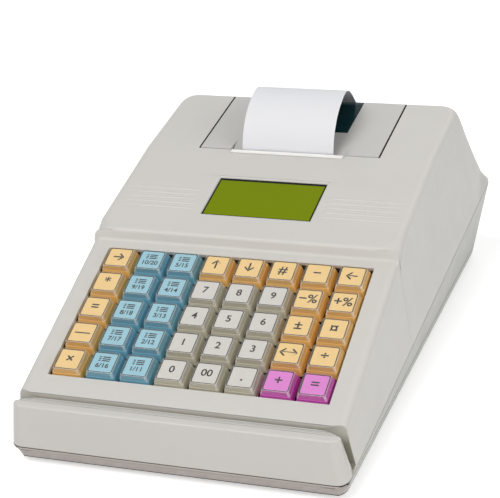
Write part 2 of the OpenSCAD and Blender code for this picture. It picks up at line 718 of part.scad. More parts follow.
module printer_frame() {
    foot = frame_foot_z;
    y0 = slot_plane - 11;
    y1 = roll_at[0] + 31;
    cradle_r = roll_r + roll_play;
    z_head = platen_at[1] - 8;
    color([0.22, 0.22, 0.24]) difference() {
        union() {
            // Cheeks
            for (x = [-cheek_out, cheek_in]) across(x, x + cheek_t) polygon([
                [y0, foot], [y1, foot], [y1, roll_at[1] + 14], [roll_at[0] + 12, roll_at[1] + 24],
                [platen_at[0] + 9, roll_at[1] + 24], [platen_at[0] + 7, platen_at[1] + 7],
                [y0, platen_at[1] + 7]]);
            // Cradle under and behind the roll
            intersection() {
                difference() {
                    cyl_x(-cheek_in - 0.5, cheek_in + 0.5, roll_at[0], roll_at[1], cradle_r + 2, 96);
                    cyl_x(-cheek_in - 1, cheek_in + 1, roll_at[0], roll_at[1], cradle_r, 96);
                }
                across(-cheek_out, cheek_out) polygon([roll_at, roll_at + [-25, -50],
                    roll_at + [50, -50], roll_at + [50, 22]]);
            }
            // Cross-bar that carries the print head, and feet on the pillars
            block([-cheek_in - 0.5, y0, z_head], [cheek_in + 0.5, y0 + 2, platen_at[1] + 7]);
            for (s = [-1, 1]) for (y = pillar_y)
                translate([s * (cheek_in + 5.5), y, foot]) block([-5.5, -5, 0], [5.5, 5, 2]);
            // Motor plate on two spacers
            across(motor_plate_x, motor_plate_x + motor_plate_t) polygon([
                motor_at + [-9, 10], motor_at + [-9, -14], motor_at + [10, -14], motor_at + [10, 10]]);
            for (d = [[-7, -12], [8, -12]])
                cyl_x(cheek_out - 0.5, motor_plate_x + 0.5, motor_at[0] + d[0], motor_at[1] + d[1],
                    1.8, 24);
        }
        cyl_x(-cheek_out - 1, cheek_out + 1, platen_at[0], platen_at[1], shaft_r + run_play);
        cyl_x(motor_plate_x - 1, motor_plate_x + 3, motor_at[0], motor_at[1], 3);
        for (x = [-post_x, post_x]) for (y = pillar_y) translate([x, y, foot - 1])
            cylinder(h = 5, r = 1.3, $fn = 24);
    }
}

module print_head() {
    face = slot_plane - paper_t / 2 - 0.05;
    back = slot_plane - 9;
    half = paper_w / 2 - 1.5;
    z0 = platen_at[1];
    color([0.72, 0.70, 0.66]) difference() {
        block([-half, back, z0 - 7], [half, face - 1, z0 + 6]);
        for (i = [-5:5]) block([i * 4.6 - 1, back - 1, z0 - 5], [i * 4.6 + 1, back + 3, z0 + 4]);
    }
    color([0.35, 0.28, 0.22]) block([-half, face - 1, z0 - 4], [half, face, z0 + 4]);
}

module paper_roll() {
    half = paper_w / 2;
    color([0.93, 0.93, 0.94]) difference() {
        cyl_x(-half, half, roll_at[0], roll_at[1], roll_r, 96);
        cyl_x(-half - 1, half + 1, roll_at[0], roll_at[1], core_r + 1.5 + part_gap, 64);
    }
    color([0.75, 0.70, 0.62]) difference() {
        cyl_x(-half, half, roll_at[0], roll_at[1], core_r + 1.5, 64);
        cyl_x(-half - 1, half + 1, roll_at[0], roll_at[1], core_r, 64);
    }
}

// Web from the roll, past the platen, out of the slot and over in a loose curl
web_r = platen_r + 0.05 + paper_t / 2;
roll_web_r = roll_r + 0.15 + paper_t / 2;
web_gap = norm(platen_at - roll_at);
web_dir = atan2(platen_at[1] - roll_at[1], platen_at[0] - roll_at[0])
    + acos((roll_web_r - web_r) / web_gap);
function bezier(a, b, c, d, steps) = [for (i = [0:steps]) let (t = i / steps, s = 1 - t)
    s * s * s * a + 3 * s * s * t * b + 3 * s * t * t * c + t * t * t * d];
function drop_first(points) = [for (i = [1:len(points) - 1]) points[i]];
crest = [slot_plane + 33, foot_h + crest_z];
curl_end = at([rear_edge + 1.5, rear_edge_z - 0.6]);
exit_at = [slot_plane, foot_h + lid_z - 0.5];
web_path = concat(
    [roll_at + roll_web_r * [cos(web_dir), sin(web_dir)]],
    [for (i = [0:3]) let (a = web_dir + (180 - web_dir) * i / 3)
        platen_at + web_r * [cos(a), sin(a)]],
    [exit_at],
    drop_first(bezier(exit_at, exit_at + [0.5, 12.5], crest - [19, 0], crest, 9)),
    drop_first(bezier(crest, crest + [13, 0], curl_end + [-16, 9], curl_end, 9)));

module paper_tape() {
    n = len(web_path);
    side = inset_line(web_path, paper_t / 2);
    other = inset_line(web_path, -paper_t / 2);
    color([0.95, 0.95, 0.96]) across(-paper_w / 2, paper_w / 2)
        polygon(concat(side, [for (i = [n - 1:-1:0]) other[i]]));
}

// ==================================================================== electronics

module main_board() {
    z0 = board_z;
    z1 = board_z + board_t;
    wall_y = rear_y;
    color([0.13, 0.36, 0.20]) difference() {
        block([-board_half, board_y[0], z0], [board_half, board_y[1], z1]);
        for (s = [-1, 1]) translate([upper_shift + s * post_x, pillar_y[1], z0 - 1])
            cylinder(h = 4, r = pillar_r + 1, $fn = 32);
    }
    // Power inlet
    color([0.08, 0.08, 0.08]) difference() {
        block([jack_x - 4.6, wall_y - 14, z1], [jack_x + 4.6, wall_y, z1 + 11]);
        translate([jack_x, wall_y + 1, z1 + 6]) rotate([90, 0, 0])
            cylinder(h = 11, r = 3, $fn = 32);
    }
    color([0.8, 0.8, 0.8]) translate([jack_x, wall_y - 1, z1 + 6]) rotate([90, 0, 0])
        cylinder(h = 9, r = 1, $fn = 32);
    // Serial port: shell with a D-shaped mouth
    color([0.75, 0.75, 0.77]) difference() {
        block([serial_x - 15.4, wall_y - 8, z1], [serial_x + 15.4, wall_y - 0.5, z1 + 12.5]);
        translate([serial_x, wall_y + 1, z1 + 6.25]) rotate([90, 0, 0]) linear_extrude(6)
            polygon([[-8.3, 4.1], [8.3, 4.1], [7.2, -4.1], [-7.2, -4.1]]);
    }
    // Cash drawer port
    color([0.9, 0.9, 0.88]) difference() {
        block([drawer_x - 6.6, wall_y - 16, z1], [drawer_x + 6.6, wall_y, z1 + 13]);
        block([drawer_x - 4.9, wall_y - 13, z1 + 3], [drawer_x + 4.9, wall_y + 1, z1 + 10]);
    }
    // Power switch body behind the rear wall
    color([0.08, 0.08, 0.08]) difference() {
        union() {
            block([switch_at[0] - 10.5, rear_y - switch_recess, switch_at[1] - 7.5],
                [switch_at[0] + 10.5, rear_y - switch_recess + 1.2, switch_at[1] + 7.5]);
            block([switch_at[0] - 9.5, rear_y - 16, switch_at[1] - 6.4],
                [switch_at[0] + 9.5, rear_y - switch_recess, switch_at[1] + 6.4]);
        }
        block([switch_at[0] - 8, rear_y - 11, switch_at[1] - 5.4],
            [switch_at[0] + 8, rear_y + 1, switch_at[1] + 5.4]);
        cyl_x(switch_at[0] - 9, switch_at[0] + 9, rear_y - 6, switch_at[1], 1 + run_play, 32);
    }
    // Chips, capacitors and a transformer
    color([0.1, 0.1, 0.1]) {
        block([-6, board_y[0] + 22, z1], [14, board_y[0] + 36, z1 + 2]);
        block([24, board_y[0] + 40, z1], [34, board_y[0] + 46, z1 + 1.6]);
    }
    color([0.15, 0.2, 0.45]) for (x = [-64, -52]) translate([x, board_y[0] + 24, z1])
        cylinder(h = 12, r = 4, $fn = 32);
}

module power_switch() {
    throw = 7;
    color([0.7, 0.08, 0.06]) translate([switch_at[0], rear_y - 6, switch_at[1]])
        rotate([-throw, 0, 0]) {
            difference() {
                translate([-7.7, -3, -4.8]) cube([15.4, 7, 9.6]);
                // the two pads slope down to a shallow valley
                cyl_x(-9, 9, 23.2, 0, 20, 96);
            }
            cyl_x(-8.8, 8.8, 0, 0, 1, 32);
        }
}

base_tray();
top_cover();
printer_line() printer_lid();
printer_line() lid_window();
printer_line() tear_bar();
lcd_panel();
key_frame();
key_board();
main_board();
printer_line() printer_frame();
printer_line() print_head();
printer_line() platen_roller();
printer_line() feed_motor();
printer_line() motor_pinion();
printer_line() paper_roll();
printer_line() paper_tape();
power_switch();
card_reader();
rubber_feet();
case_screws();
for (row = [1:key_rows]) for (column = [1:key_columns])
    key(row, column);
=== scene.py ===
"""Looks of the ticket register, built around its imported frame.

Sizes are in millimetres in the part's own frame (+Z up, operator at -Y); MM turns them into metres.
"""
import math
from contextlib import contextmanager

import bpy
import bmesh
from mathutils import Matrix, Vector
from mathutils.bvhtree import BVHTree


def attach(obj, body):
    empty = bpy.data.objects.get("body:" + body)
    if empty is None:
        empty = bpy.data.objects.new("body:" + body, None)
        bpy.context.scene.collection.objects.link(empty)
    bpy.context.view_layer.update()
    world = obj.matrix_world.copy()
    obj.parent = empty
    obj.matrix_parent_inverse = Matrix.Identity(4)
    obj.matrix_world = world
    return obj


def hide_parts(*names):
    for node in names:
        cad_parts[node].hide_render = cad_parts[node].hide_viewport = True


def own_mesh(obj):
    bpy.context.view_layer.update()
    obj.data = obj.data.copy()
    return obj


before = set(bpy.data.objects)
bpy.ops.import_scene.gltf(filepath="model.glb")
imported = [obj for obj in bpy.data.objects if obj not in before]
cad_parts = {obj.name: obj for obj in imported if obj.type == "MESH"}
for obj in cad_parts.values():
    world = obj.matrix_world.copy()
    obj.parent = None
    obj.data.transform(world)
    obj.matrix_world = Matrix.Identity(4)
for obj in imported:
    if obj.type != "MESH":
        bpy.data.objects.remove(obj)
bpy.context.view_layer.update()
MM = 0.001

# --- driving sizes (mm)
# Case: ends, walls, and half-widths and heights of the flat top, the waist and the bottom
FRONT, REAR, FOOT = -159.4, 159.4, 3.0
LENGTH = REAR - FRONT
WALL, EDGE_R, SEAM, SEAM_IN = 2.5, 4.0, 0.6, 1.0
TOP_HALF, BOTTOM_HALF = 89.7, 90.8
WAIST_HALF, WAIST_Z = (92.8, 102.0), (8.0, 52.7)        # each at the front and at the rear
FRONT_CORNER_R, REAR_CORNER_R, BAR_EDGE_R, BOTTOM_CORNER_R = 6.0, 12.0, 1.0, 11.0
SHIFT = 1.0                         # display and printer sit this far to the right

# Tray: moulded groove, with its distances from both ends, and the drawn-up nose
GROOVE_Z, GROOVE_DEPTH, GROOVE_START, GROOVE_REAR = 7.35, 0.5, 3.0, 14.0
TRAY_EDGE, NOSE_L, NOSE_DROP = 0.5, 3.9, 1.8

# Decks and the step between them
KEY_TILT, DECK_START, DECK_Z, DECK_LENGTH = 20.5, 12.6, 36.1, 115.9
STEP_RUN, STEP_RISE, STEP_FADE, STEP_MITRE = 1.5, 6.4, 10.0, 8.0
DISPLAY_TILT, DISPLAY_RUN = 13.0, 85.4
LID_TILT, LID_RUN, REAR_EDGE_R = 8.5, 70.0, 8.0
STEP_FOOT_REACH, STEP_TOP_REACH, LID_EDGE_REACH = 1.6, 2.2, 3.0

# Card slot; its flares are at the floor and at the deck
SLOT_START, SLOT_TILT, SLOT_GAP, SLOT_DEPTH = 11.2, 10.0, 1.2, 23.6
SLOT_FLARE, SLOT_FLARE_BACK, SLOT_FLARE_L, FLARE_REACH = (3.4, 8.9), (0.4, 2.9), 18.0, 1.4

# Screws, keys, and the display with its moulded lines
BOSS_X, BOSS_Y, BOSS_R, BOSS_UP, SCREW_R = 84.6, (-105.4, 8.6, 111.4), 4.0, 3.0, 1.5
KEY_PITCH, KEY_SKIRT, KEY_TOP, KEY_PROUD, SKIRT_DEPTH = 19.5, 18.1, 15.1, 2.9, 5.2
KEYS_MID, WELL_MARGIN, ROWS, COLUMNS = 60.7, 0.7, 5, 8
WINDOW_W, WINDOW_L, WINDOW_START, WINDOW_RIM = 65.4, 37.2, 20.6, 0.9
RIB_COUNT, RIB_PITCH, RIB_START, RIB_H, RIB_SUNK = 5, 4.6, 4.2, 0.3, 0.3
RIB_X = (37.5, TOP_HALF - 5)

# Lid, its window and hinge, the paper exit and the tear bar
LID_W, LID_DROP, LID_GAP, LID_OPENS, SEAM_EXTRA = 112.4, 27.0, 0.5, 95.0, 0.35
VIEW_W, VIEW_START, VIEW_END, VIEW_LEDGE, PANE_T, PANE_GAP = 58.6, 27.2, 19.0, 1.5, 1.75, 0.35
HINGE_R, PIN_R, PIN_L, FLANGE_T = 3.2, 1.5, 3.0, 1.8
NOTCH_HALF, NOTCH_L, EXIT_L = 36.0, 10.0, 1.8
BAR_HALF, BAR_L, BAR_T, BAR_SUNK, BAR_TEETH = 35.0, 2.2, 1.5, 0.6, 70
PAPER_W, PAPER_T, PAPER_DRIFT, CREST_Z, CREST_RUN = 57.0, 0.2, 6.0, 130.5, 33.0
DRIFT_START, DRIFT_RUN = 20.0, 52.0
ROLL_R, PLATEN_R = 28.0, 5.0

# Printer pillars (about the roll) and board posts on the tray's floor
PILLAR_X, PILLAR_AHEAD, PILLAR_BEHIND, PILLAR_R, PILLAR_H = 38.0, 38.0, 24.0, 3.5, 24.0
POST_X, POST_R, POST_H = 71.0, 3.0, 5.5

# How far the edges are rounded
COVER_BEVEL, TRAY_BEVEL, LID_BEVEL, PANE_BEVEL, BAR_BEVEL = 0.4, 0.25, 0.35, 0.3, 0.12
DISPLAY_BEVEL, READER_BEVEL = 0.1, 0.3

# Points of the long side line: distance from the front, height above the case bottom
BAR_Z, BAR_RUN = 33.2, SLOT_START + 0.1
DECK_END = DECK_START + DECK_LENGTH * math.cos(math.radians(KEY_TILT))
DECK_END_Z = DECK_Z + DECK_LENGTH * math.sin(math.radians(KEY_TILT))
DISPLAY_START, DISPLAY_Z = DECK_END + STEP_RUN, DECK_END_Z + STEP_RISE
LID_START = DISPLAY_START + DISPLAY_RUN
LID_Z = DISPLAY_Z + DISPLAY_RUN * math.tan(math.radians(DISPLAY_TILT))
REAR_EDGE = LID_START + LID_RUN
REAR_EDGE_Z = LID_Z + LID_RUN * math.tan(math.radians(LID_TILT))
REAR_END_Z = WAIST_Z[1] + 1.5
REAR_FALL = math.degrees(math.atan((REAR_EDGE_Z - REAR_END_Z) / (LENGTH - REAR_EDGE)))

# Printer in side view [y, z]; the paper rises in the slot plane and runs on the platen's front
SLOT_PLANE = FRONT + LID_START - 0.7
ROLL = Vector((FRONT + LID_START + 37.84, FOOT + 58))
PLATEN = Vector((SLOT_PLANE + 0.15 + PLATEN_R + 0.05, FOOT + 88))


# --- small maths
def lerp(a, b, t):
    return a + (b - a) * t


def unit(v):
    return v / v.length


def left_of(v):
    return Vector((-v.y, v.x))


def turned(angle):
    return Vector((math.cos(math.radians(angle)), math.sin(math.radians(angle))))


def spread(a, b, n):
    """n steps from a to b, both ends included."""
    return [lerp(a, b, i / n) for i in range(n + 1)]


def rounded_corner(a, c, b, reach, steps):
    """Points that replace the corner c on the way from a to b."""
    p, q = c + unit(a - c) * reach, c + unit(b - c) * reach
    return [p.lerp(c, t).lerp(c.lerp(q, t), t) for t in spread(0, 1, steps)]


def bezier(a, b, c, d, steps):
    ts = spread(0, 1, steps)
    return [a * (1 - t) ** 3 + b * 3 * t * (1 - t) ** 2 + c * 3 * t * t * (1 - t) + d * t ** 3
            for t in ts]


def inset_line(line, depth):
    """The line moved by depth to its right, square to itself."""
    normals = [left_of(unit(q - p)) for p, q in zip(line, line[1:])]
    out = []
    for i, p in enumerate(line):
        n, m = normals[min(i, len(normals) - 1)], normals[max(i - 1, 0)]
        middle = unit(n + m)
        out.append(p - middle * depth / middle.dot(n))
    return out


# --- the long side line
def deck_height(d):
    return DECK_Z + (d - DECK_START) * math.tan(math.radians(KEY_TILT))


def rear_arc(radius, steps):
    reach = REAR_EDGE_R * math.tan(math.radians((LID_TILT + REAR_FALL) / 2))
    deck = turned(LID_TILT)
    centre = Vector((REAR_EDGE, REAR_EDGE_Z)) - deck * reach - left_of(deck) * REAR_EDGE_R
    return [centre + turned(a) * radius for a in spread(90 + LID_TILT, 90 - REAR_FALL, steps)]


def side_line():
    """Side view of the top, with its soft corners, from the front to the rear end."""
    bar_end = Vector((BAR_RUN + 0.1, deck_height(BAR_RUN + 0.1)))
    foot, top = Vector((DECK_END, DECK_END_Z)), Vector((DISPLAY_START, DISPLAY_Z))
    lid_edge, arc = Vector((LID_START, LID_Z)), rear_arc(REAR_EDGE_R, 16)
    line = [Vector((0, BAR_Z)), Vector((BAR_RUN, BAR_Z)), bar_end]
    line += rounded_corner(bar_end, foot, top, STEP_FOOT_REACH, 6)
    line += rounded_corner(foot, top, lid_edge, STEP_TOP_REACH, 8)
    line += rounded_corner(top, lid_edge, arc[0], LID_EDGE_REACH, 4)
    return line + arc + [Vector((LENGTH, REAR_END_Z))]


LINE = side_line()


def height_on(line, d):
    for p, q in zip(line, line[1:]):
        if p.x <= d <= q.x:
            return lerp(p.y, q.y, (d - p.x) / max(q.x - p.x, 1e-9))
    return line[0].y if d < line[0].x else line[-1].y


def waist_half(d):
    return lerp(*WAIST_HALF, d / LENGTH)


def waist_z(d):
    return lerp(*WAIST_Z, d / LENGTH)


def round_in(d, r):
    """How far a rounded end of radius r pulls the outline in at a distance d from that end."""
    return 0 if d >= r else r - math.sqrt(r * r - (r - d) ** 2)


def ends_in(d):
    return round_in(d, FRONT_CORNER_R) + round_in(LENGTH - d, REAR_CORNER_R)


def end_stations(r, steps):
    """Distances from a rounded end, closer together where it turns faster."""
    return [r * (1 - math.cos(a)) for a in spread(0, math.pi / 2, steps)]


def stations(line):
    """Distances from the front at which the cover gets a section."""
    ends = end_stations(FRONT_CORNER_R, 12)
    ends += [LENGTH - s for s in end_stations(REAR_CORNER_R, 14)]
    inner = [p.x for p in line] + spread(DISPLAY_START, DISPLAY_START + STEP_FADE, 8)
    inner += spread(REAR_EDGE - REAR_CORNER_R, REAR_EDGE, 8) + [7.5, 8.8, 60, 180]
    found = sorted(ends + [d for d in inner if 0 < d < LENGTH])
    return [d for i, d in enumerate(found) if i == 0 or d - found[i - 1] > 0.02]


# --- mesh making
@contextmanager
def edited(mesh):
    """The mesh as a bmesh, which is written back at the end."""
    bm = bmesh.new()
    bm.from_mesh(mesh)
    yield bm
    bm.to_mesh(mesh)
    bm.free()


def new_object(name, data):
    obj = bpy.data.objects.new(name, data)
    bpy.context.scene.collection.objects.link(obj)
    return obj


def new_mesh(name, points, faces):
    """Object from points in mm, with its faces turned outwards."""
    mesh = bpy.data.meshes.new(name)
    mesh.from_pydata([Vector(p) * MM for p in points], [], faces)
    with edited(mesh) as bm:
        bmesh.ops.recalc_face_normals(bm, faces=bm.faces)
    return new_object(name, mesh)


def loft(name, sections):
    """Closed skin through sections with equal numbers of points."""
    n = len(sections[0])
    faces = [[k * n + i, k * n + (i + 1) % n, (k + 1) * n + (i + 1) % n, (k + 1) * n + i]
             for k in range(len(sections) - 1) for i in range(n)]
    last = (len(sections) - 1) * n
    faces += [list(range(n))[::-1], [last + i for i in range(n)]]
    return new_mesh(name, [p for s in sections for p in s], faces)


def across(name, outline, x0, x1):
    """A side-view outline [y, z] pulled across the case from x0 to x1."""
    return loft(name, [[(x, p[0], p[1]) for p in outline] for x in (x0, x1)])


def block(name, low, high):
    (a, b, c), (d, e, f) = low, high
    return across(name, [(b, c), (e, c), (e, f), (b, f)], a, d)


def circle(a, b, r, steps):
    return [(a + r * math.cos(t), b + r * math.sin(t)) for t in spread(0, math.tau, steps)[:-1]]


def rod(name, x0, x1, y, z, r):
    """Round bar across the case."""
    return across(name, circle(y, z, r, 48), x0, x1)


def pole(name, x, y, z0, z1, r):
    """Upright round bar."""
    return loft(name, [[(px, py, z) for px, py in circle(x, y, r, 32)] for z in (z0, z1)])


def merged(objects):
    """One object from several, whose skins aren't cut against each other."""
    first, rest = objects[0], objects[1:]
    with edited(first.data) as bm:
        for obj in rest:
            bm.from_mesh(obj.data)
    for obj in rest:
        bpy.data.objects.remove(obj)
    return first


def placed(obj, matrix):
    """Moves the mesh by a matrix in metres and gives the object back."""
    obj.data.transform(matrix)
    return obj


def deck_frame(start, height, tilt):
    """Matrix of a deck or a slanted wall: Y runs up its slope and Z is square to it."""
    origin = Vector((0, FRONT + start, FOOT + height)) * MM
    return Matrix.Translation(origin) @ Matrix.Rotation(math.radians(tilt), 4, "X")


SHIFTED = Matrix.Translation((SHIFT * MM, 0, 0))
KEY_DECK = deck_frame(DECK_START, DECK_Z, KEY_TILT)
SLOT_WALL = deck_frame(SLOT_START, deck_height(SLOT_START), SLOT_TILT)
DISPLAY_DECK = deck_frame(DISPLAY_START, DISPLAY_Z, DISPLAY_TILT)
HINGE = Vector((REAR_EDGE, REAR_EDGE_Z)) + turned(-REAR_FALL) * LID_DROP \
    - left_of(turned(-REAR_FALL)) * HINGE_R
HINGE_YZ = (FRONT + HINGE.x, FOOT + HINGE.y)


def settle(obj):
    """Applies the modifiers of obj to its mesh."""
    depsgraph = bpy.context.evaluated_depsgraph_get()
    mesh = bpy.data.meshes.new_from_object(obj.evaluated_get(depsgraph))
    obj.modifiers.clear()
    obj.data = mesh


def combine(obj, others, operation="DIFFERENCE"):
    """Cuts the others out of obj, or adds them to it."""
    for other in others:
        step = obj.modifiers.new("cut", "BOOLEAN")
        step.operation, step.solver, step.object = operation, "EXACT", other
        settle(obj)
        bpy.data.objects.remove(other)
    return obj


WELD_DIST, LARGE_FACE = 0.00001, 0.001          # m, m2
SHARP, BEVEL_STEPS = math.radians(32), 2


def weld(obj):
    """Joins double points and splits large faces with holes, which don't survive a bevel."""
    with edited(obj.data) as bm:
        bmesh.ops.remove_doubles(bm, verts=bm.verts, dist=WELD_DIST)
        bmesh.ops.dissolve_degenerate(bm, edges=bm.edges, dist=WELD_DIST)
        wide = [face for face in bm.faces if len(face.verts) > 4 and face.calc_area() > LARGE_FACE]
        bmesh.ops.triangulate(bm, faces=wide)
        for face in bm.faces:
            face.smooth = True


def round_edges(obj, width):
    """Bevels the sharp edges, and draws back any point that the bevel pushes off the surface."""
    skin = BVHTree.FromObject(obj, bpy.context.evaluated_depsgraph_get())
    bevel = obj.modifiers.new("edges", "BEVEL")
    bevel.width, bevel.segments = width * MM, BEVEL_STEPS
    bevel.limit_method, bevel.angle_limit = "ANGLE", SHARP
    bevel.use_clamp_overlap = False
    settle(obj)
    for vertex in obj.data.vertices:
        nearest, _, _, distance = skin.find_nearest(vertex.co)
        if distance > 0.9 * width * MM:
            vertex.co = nearest


def keep_flats(obj):
    """Shades flats as flats, however their edges are rounded."""
    normals = obj.modifiers.new("normals", "WEIGHTED_NORMAL")
    normals.keep_sharp = True


def soften(obj, width):
    """Rounds the sharp edges and keeps the flats flat."""
    weld(obj)
    if width:
        round_edges(obj, width)
    obj.data.set_sharp_from_angle(angle=SHARP)
    keep_flats(obj)
    return obj


# --- materials
def srgb(r, g, b):
    def linear(v):
        v /= 255
        return v / 12.92 if v <= 0.04045 else ((v + 0.055) / 1.055) ** 2.4
    return (linear(r), linear(g), linear(b), 1)


class Surface:
    """A principled material and short calls that add procedural detail to it."""

    def __init__(self, name, colour, rough=0.5, **sockets):
        self.material = bpy.data.materials.new(name)
        self.material.use_nodes = True
        self.tree = self.material.node_tree
        self.shader = self.tree.nodes["Principled BSDF"]
        self.colour = srgb(*colour)
        self.set("Base Color", self.colour)
        self.set("Roughness", rough)
        for socket, value in sockets.items():
            self.set(socket.replace("_", " "), value)

    def set(self, socket, value):
        self.shader.inputs[socket].default_value = value

    def node(self, kind, **inputs):
        node = self.tree.nodes.new(kind)
        for socket, value in inputs.items():
            node.inputs[socket.replace("_", " ")].default_value = value
        return node

    def link(self, a, b):
        self.tree.links.new(a, b)

    def place(self):
        return self.node("ShaderNodeTexCoord").outputs["Object"]

    def noise(self, scale, detail=3.0):
        node = self.node("ShaderNodeTexNoise", Scale=scale, Detail=detail, Roughness=0.55)
        self.link(self.place(), node.inputs["Vector"])
        return node.outputs["Fac"]

    def ramp(self, value, low, high):
        """The middle of a noise stretched from low to high."""
        node = self.node("ShaderNodeMapRange", From_Min=0.3, From_Max=0.7, To_Min=low, To_Max=high)
        self.link(value, node.inputs["Value"])
        return node.outputs["Result"]

    def mottle(self, scale, amount):
        """Slow variation of the base colour."""
        mix = self.tree.nodes.new("ShaderNodeMix")
        mix.data_type, mix.blend_type = "RGBA", "MULTIPLY"
        mix.inputs["Factor"].default_value = 1
        self.link(self.ramp(self.noise(scale), 1 - amount, 1), mix.inputs["B"])
        mix.inputs["A"].default_value = self.colour
        self.link(mix.outputs["Result"], self.shader.inputs["Base Color"])
        return self

    def uneven(self, scale, low, high):
        """Roughness that varies from low to high."""
        self.link(self.ramp(self.noise(scale), low, high), self.shader.inputs["Roughness"])
        return self

    def fade(self, origin, axis, near, far, other):
        """Turns into the other colour from near to far along an axis."""
        away = self.node("ShaderNodeVectorMath")
        away.operation = "SUBTRACT"
        away.inputs[1].default_value = origin
        self.link(self.place(), away.inputs[0])
        along = self.node("ShaderNodeVectorMath")
        along.operation = "DOT_PRODUCT"
        along.inputs[1].default_value = axis
        self.link(away.outputs["Vector"], along.inputs[0])
        share = self.node("ShaderNodeMapRange", From_Min=near * MM, From_Max=far * MM)
        self.link(along.outputs["Value"], share.inputs["Value"])
        mix = self.tree.nodes.new("ShaderNodeMix")
        mix.data_type = "RGBA"
        mix.inputs["A"].default_value, mix.inputs["B"].default_value = self.colour, srgb(*other)
        self.link(share.outputs["Result"], mix.inputs["Factor"])
        self.link(mix.outputs["Result"], self.shader.inputs["Base Color"])
        return self

    def grain(self, scale, height, strength=0.3):
        """Fine relief, height in mm."""
        bump = self.node("ShaderNodeBump", Strength=strength, Distance=height * MM)
        self.link(self.noise(scale, 2), bump.inputs["Height"])
        self.link(bump.outputs["Normal"], self.shader.inputs["Normal"])
        return self


def case_plastic(name, colour):
    """Injection-moulded ABS with a fine spark-eroded texture."""
    surface = Surface(name, colour, 0.42, Specular_IOR_Level=0.4)
    return surface.mottle(14, 0.025).uneven(90, 0.38, 0.5).grain(2400, 0.02, 0.25)


def key_plastic(name, colour):
    surface = Surface(name, colour, 0.32, Specular_IOR_Level=0.45)
    return surface.mottle(60, 0.04).uneven(300, 0.28, 0.38).grain(1800, 0.01, 0.15)


def label_card(name, colour):
    return Surface(name, colour, 0.5).mottle(220, 0.03).grain(3000, 0.01, 0.2)


def metal(name, colour, rough):
    surface = Surface(name, colour, rough, Metallic=1.0)
    return surface.mottle(120, 0.12).uneven(400, rough - 0.08, rough + 0.1)


BOARD_TOP = (0, 0, 12.8 * MM)
SHELL = case_plastic("case_shell", (199, 197, 192))
# Painted shade: the slot walls turn from the case colour to a darker one from 5 to 11 mm deep, for
# the shade down in the slot
SLOT_SHADE = Surface("slot_shade", (197, 195, 186), 0.5)
SLOT_SHADE.uneven(90, 0.45, 0.6).grain(2400, 0.02, 0.25)
SLOT_SHADE.fade(SLOT_WALL.translation, SLOT_WALL.col[2].xyz, -5, -11, (150, 148, 132))
LID_SHELL = case_plastic("lid_shell", (190, 189, 185))
# Painted shade: both tray colours are the shell's plastic painted darker, the nose's also pinker,
# for the shade on the tray's lower faces
TRAY_PAINTED_SHADE = case_plastic("case_tray", (172, 164, 159))
TRAY_SIDE_PAINTED_SHADE = case_plastic("case_tray_side_painted_shade", (178, 178, 172))
SEAM_SHADE = Surface("seam_shade", (70, 66, 60), 0.8).mottle(60, 0.2).grain(900, 0.02, 0.2)
BLACK = Surface("black_plastic", (12, 12, 12), 0.6, Specular_IOR_Level=0.1)
BLACK.mottle(80, 0.25).grain(1500, 0.02, 0.3)
# Painted shade: the key frame, seen only through the gaps between keys, is painted dark brown for
# the shade down in the key well
KEY_WELL_SHADE = Surface("key_well", (44, 40, 34), 0.6).mottle(60, 0.3).grain(1200, 0.02, 0.3)
BOARD = Surface("solder_mask", (22, 78, 44), 0.3).mottle(200, 0.25).uneven(500, 0.22, 0.4)
BOARD_AND_PARTS = Surface("board_and_parts", (22, 78, 44), 0.3)
BOARD_AND_PARTS.uneven(500, 0.3, 0.5).grain(300, 0.03)
BOARD_AND_PARTS.fade(BOARD_TOP, (0, 0, 1), 0, 0.2, (34, 34, 35))
CHASSIS = Surface("chassis", (46, 46, 48), 0.5).mottle(90, 0.15).grain(1200, 0.02, 0.3)
RUBBER = Surface("rubber", (24, 24, 24), 0.8).mottle(200, 0.25).grain(900, 0.05, 0.4)
STEEL = metal("steel", (190, 190, 192), 0.35)
BRASS = metal("brass", (205, 175, 105), 0.32)
WHITE_BAR = Surface("tear_bar_white", (246, 246, 244), 0.35)
WHITE_BAR.mottle(120, 0.02).uneven(300, 0.3, 0.4)
PAPER = Surface("thermal_paper", (222, 223, 226), 0.62, Specular_IOR_Level=0.3)
PAPER.mottle(35, 0.012).grain(900, 0.01, 0.12)
LCD = Surface("lcd_olive", (113, 130, 0), 0.5, Specular_IOR_Level=0.05)
LCD.mottle(25, 0.03)
SMOKED = Surface("smoked_window", (6, 48, 54), 0.14, Alpha=0.85, Specular_IOR_Level=0.08)
SMOKED.mottle(30, 0.2)
RED = Surface("switch_red", (190, 26, 20), 0.25).mottle(80, 0.08)
INK = Surface("ink", (24, 22, 20), 0.6, Specular_IOR_Level=0.2).mottle(500, 0.3)
CLEAR = Surface("clear_face", (250, 250, 248), 0.08, Alpha=0.035, Specular_IOR_Level=0.5)
CLEAR.uneven(200, 0.05, 0.12)
# Painted highlight: the hoods' rims and corners are whiter and less clear than their faces, for the
# glint of light on clear plastic edges
CLEAR_EDGE_HIGHLIGHT = Surface("clear_edge_painted_highlight", (250, 250, 246), 0.1, Alpha=0.22, Specular_IOR_Level=0.5)
CLEAR_EDGE_HIGHLIGHT.uneven(200, 0.06, 0.14)

KEY_COLOURS = {                     # of the plastic and of the label
    "yellow": ((214, 168, 92), (228, 194, 128)),
    "blue": ((96, 152, 172), (140, 188, 202)),
    "white": ((178, 173, 154), (200, 197, 191)),
    "magenta": ((188, 70, 164), (210, 116, 196)),
}
KEY_LOOKS = {name: (key_plastic("key_" + name, plastic), label_card("label_" + name, label))
             for name, (plastic, label) in KEY_COLOURS.items()}


def dress(obj, *surfaces):
    """Gives the object these materials and no others."""
    obj.data.materials.clear()
    for surface in surfaces:
        obj.data.materials.append(surface.material)
    return obj


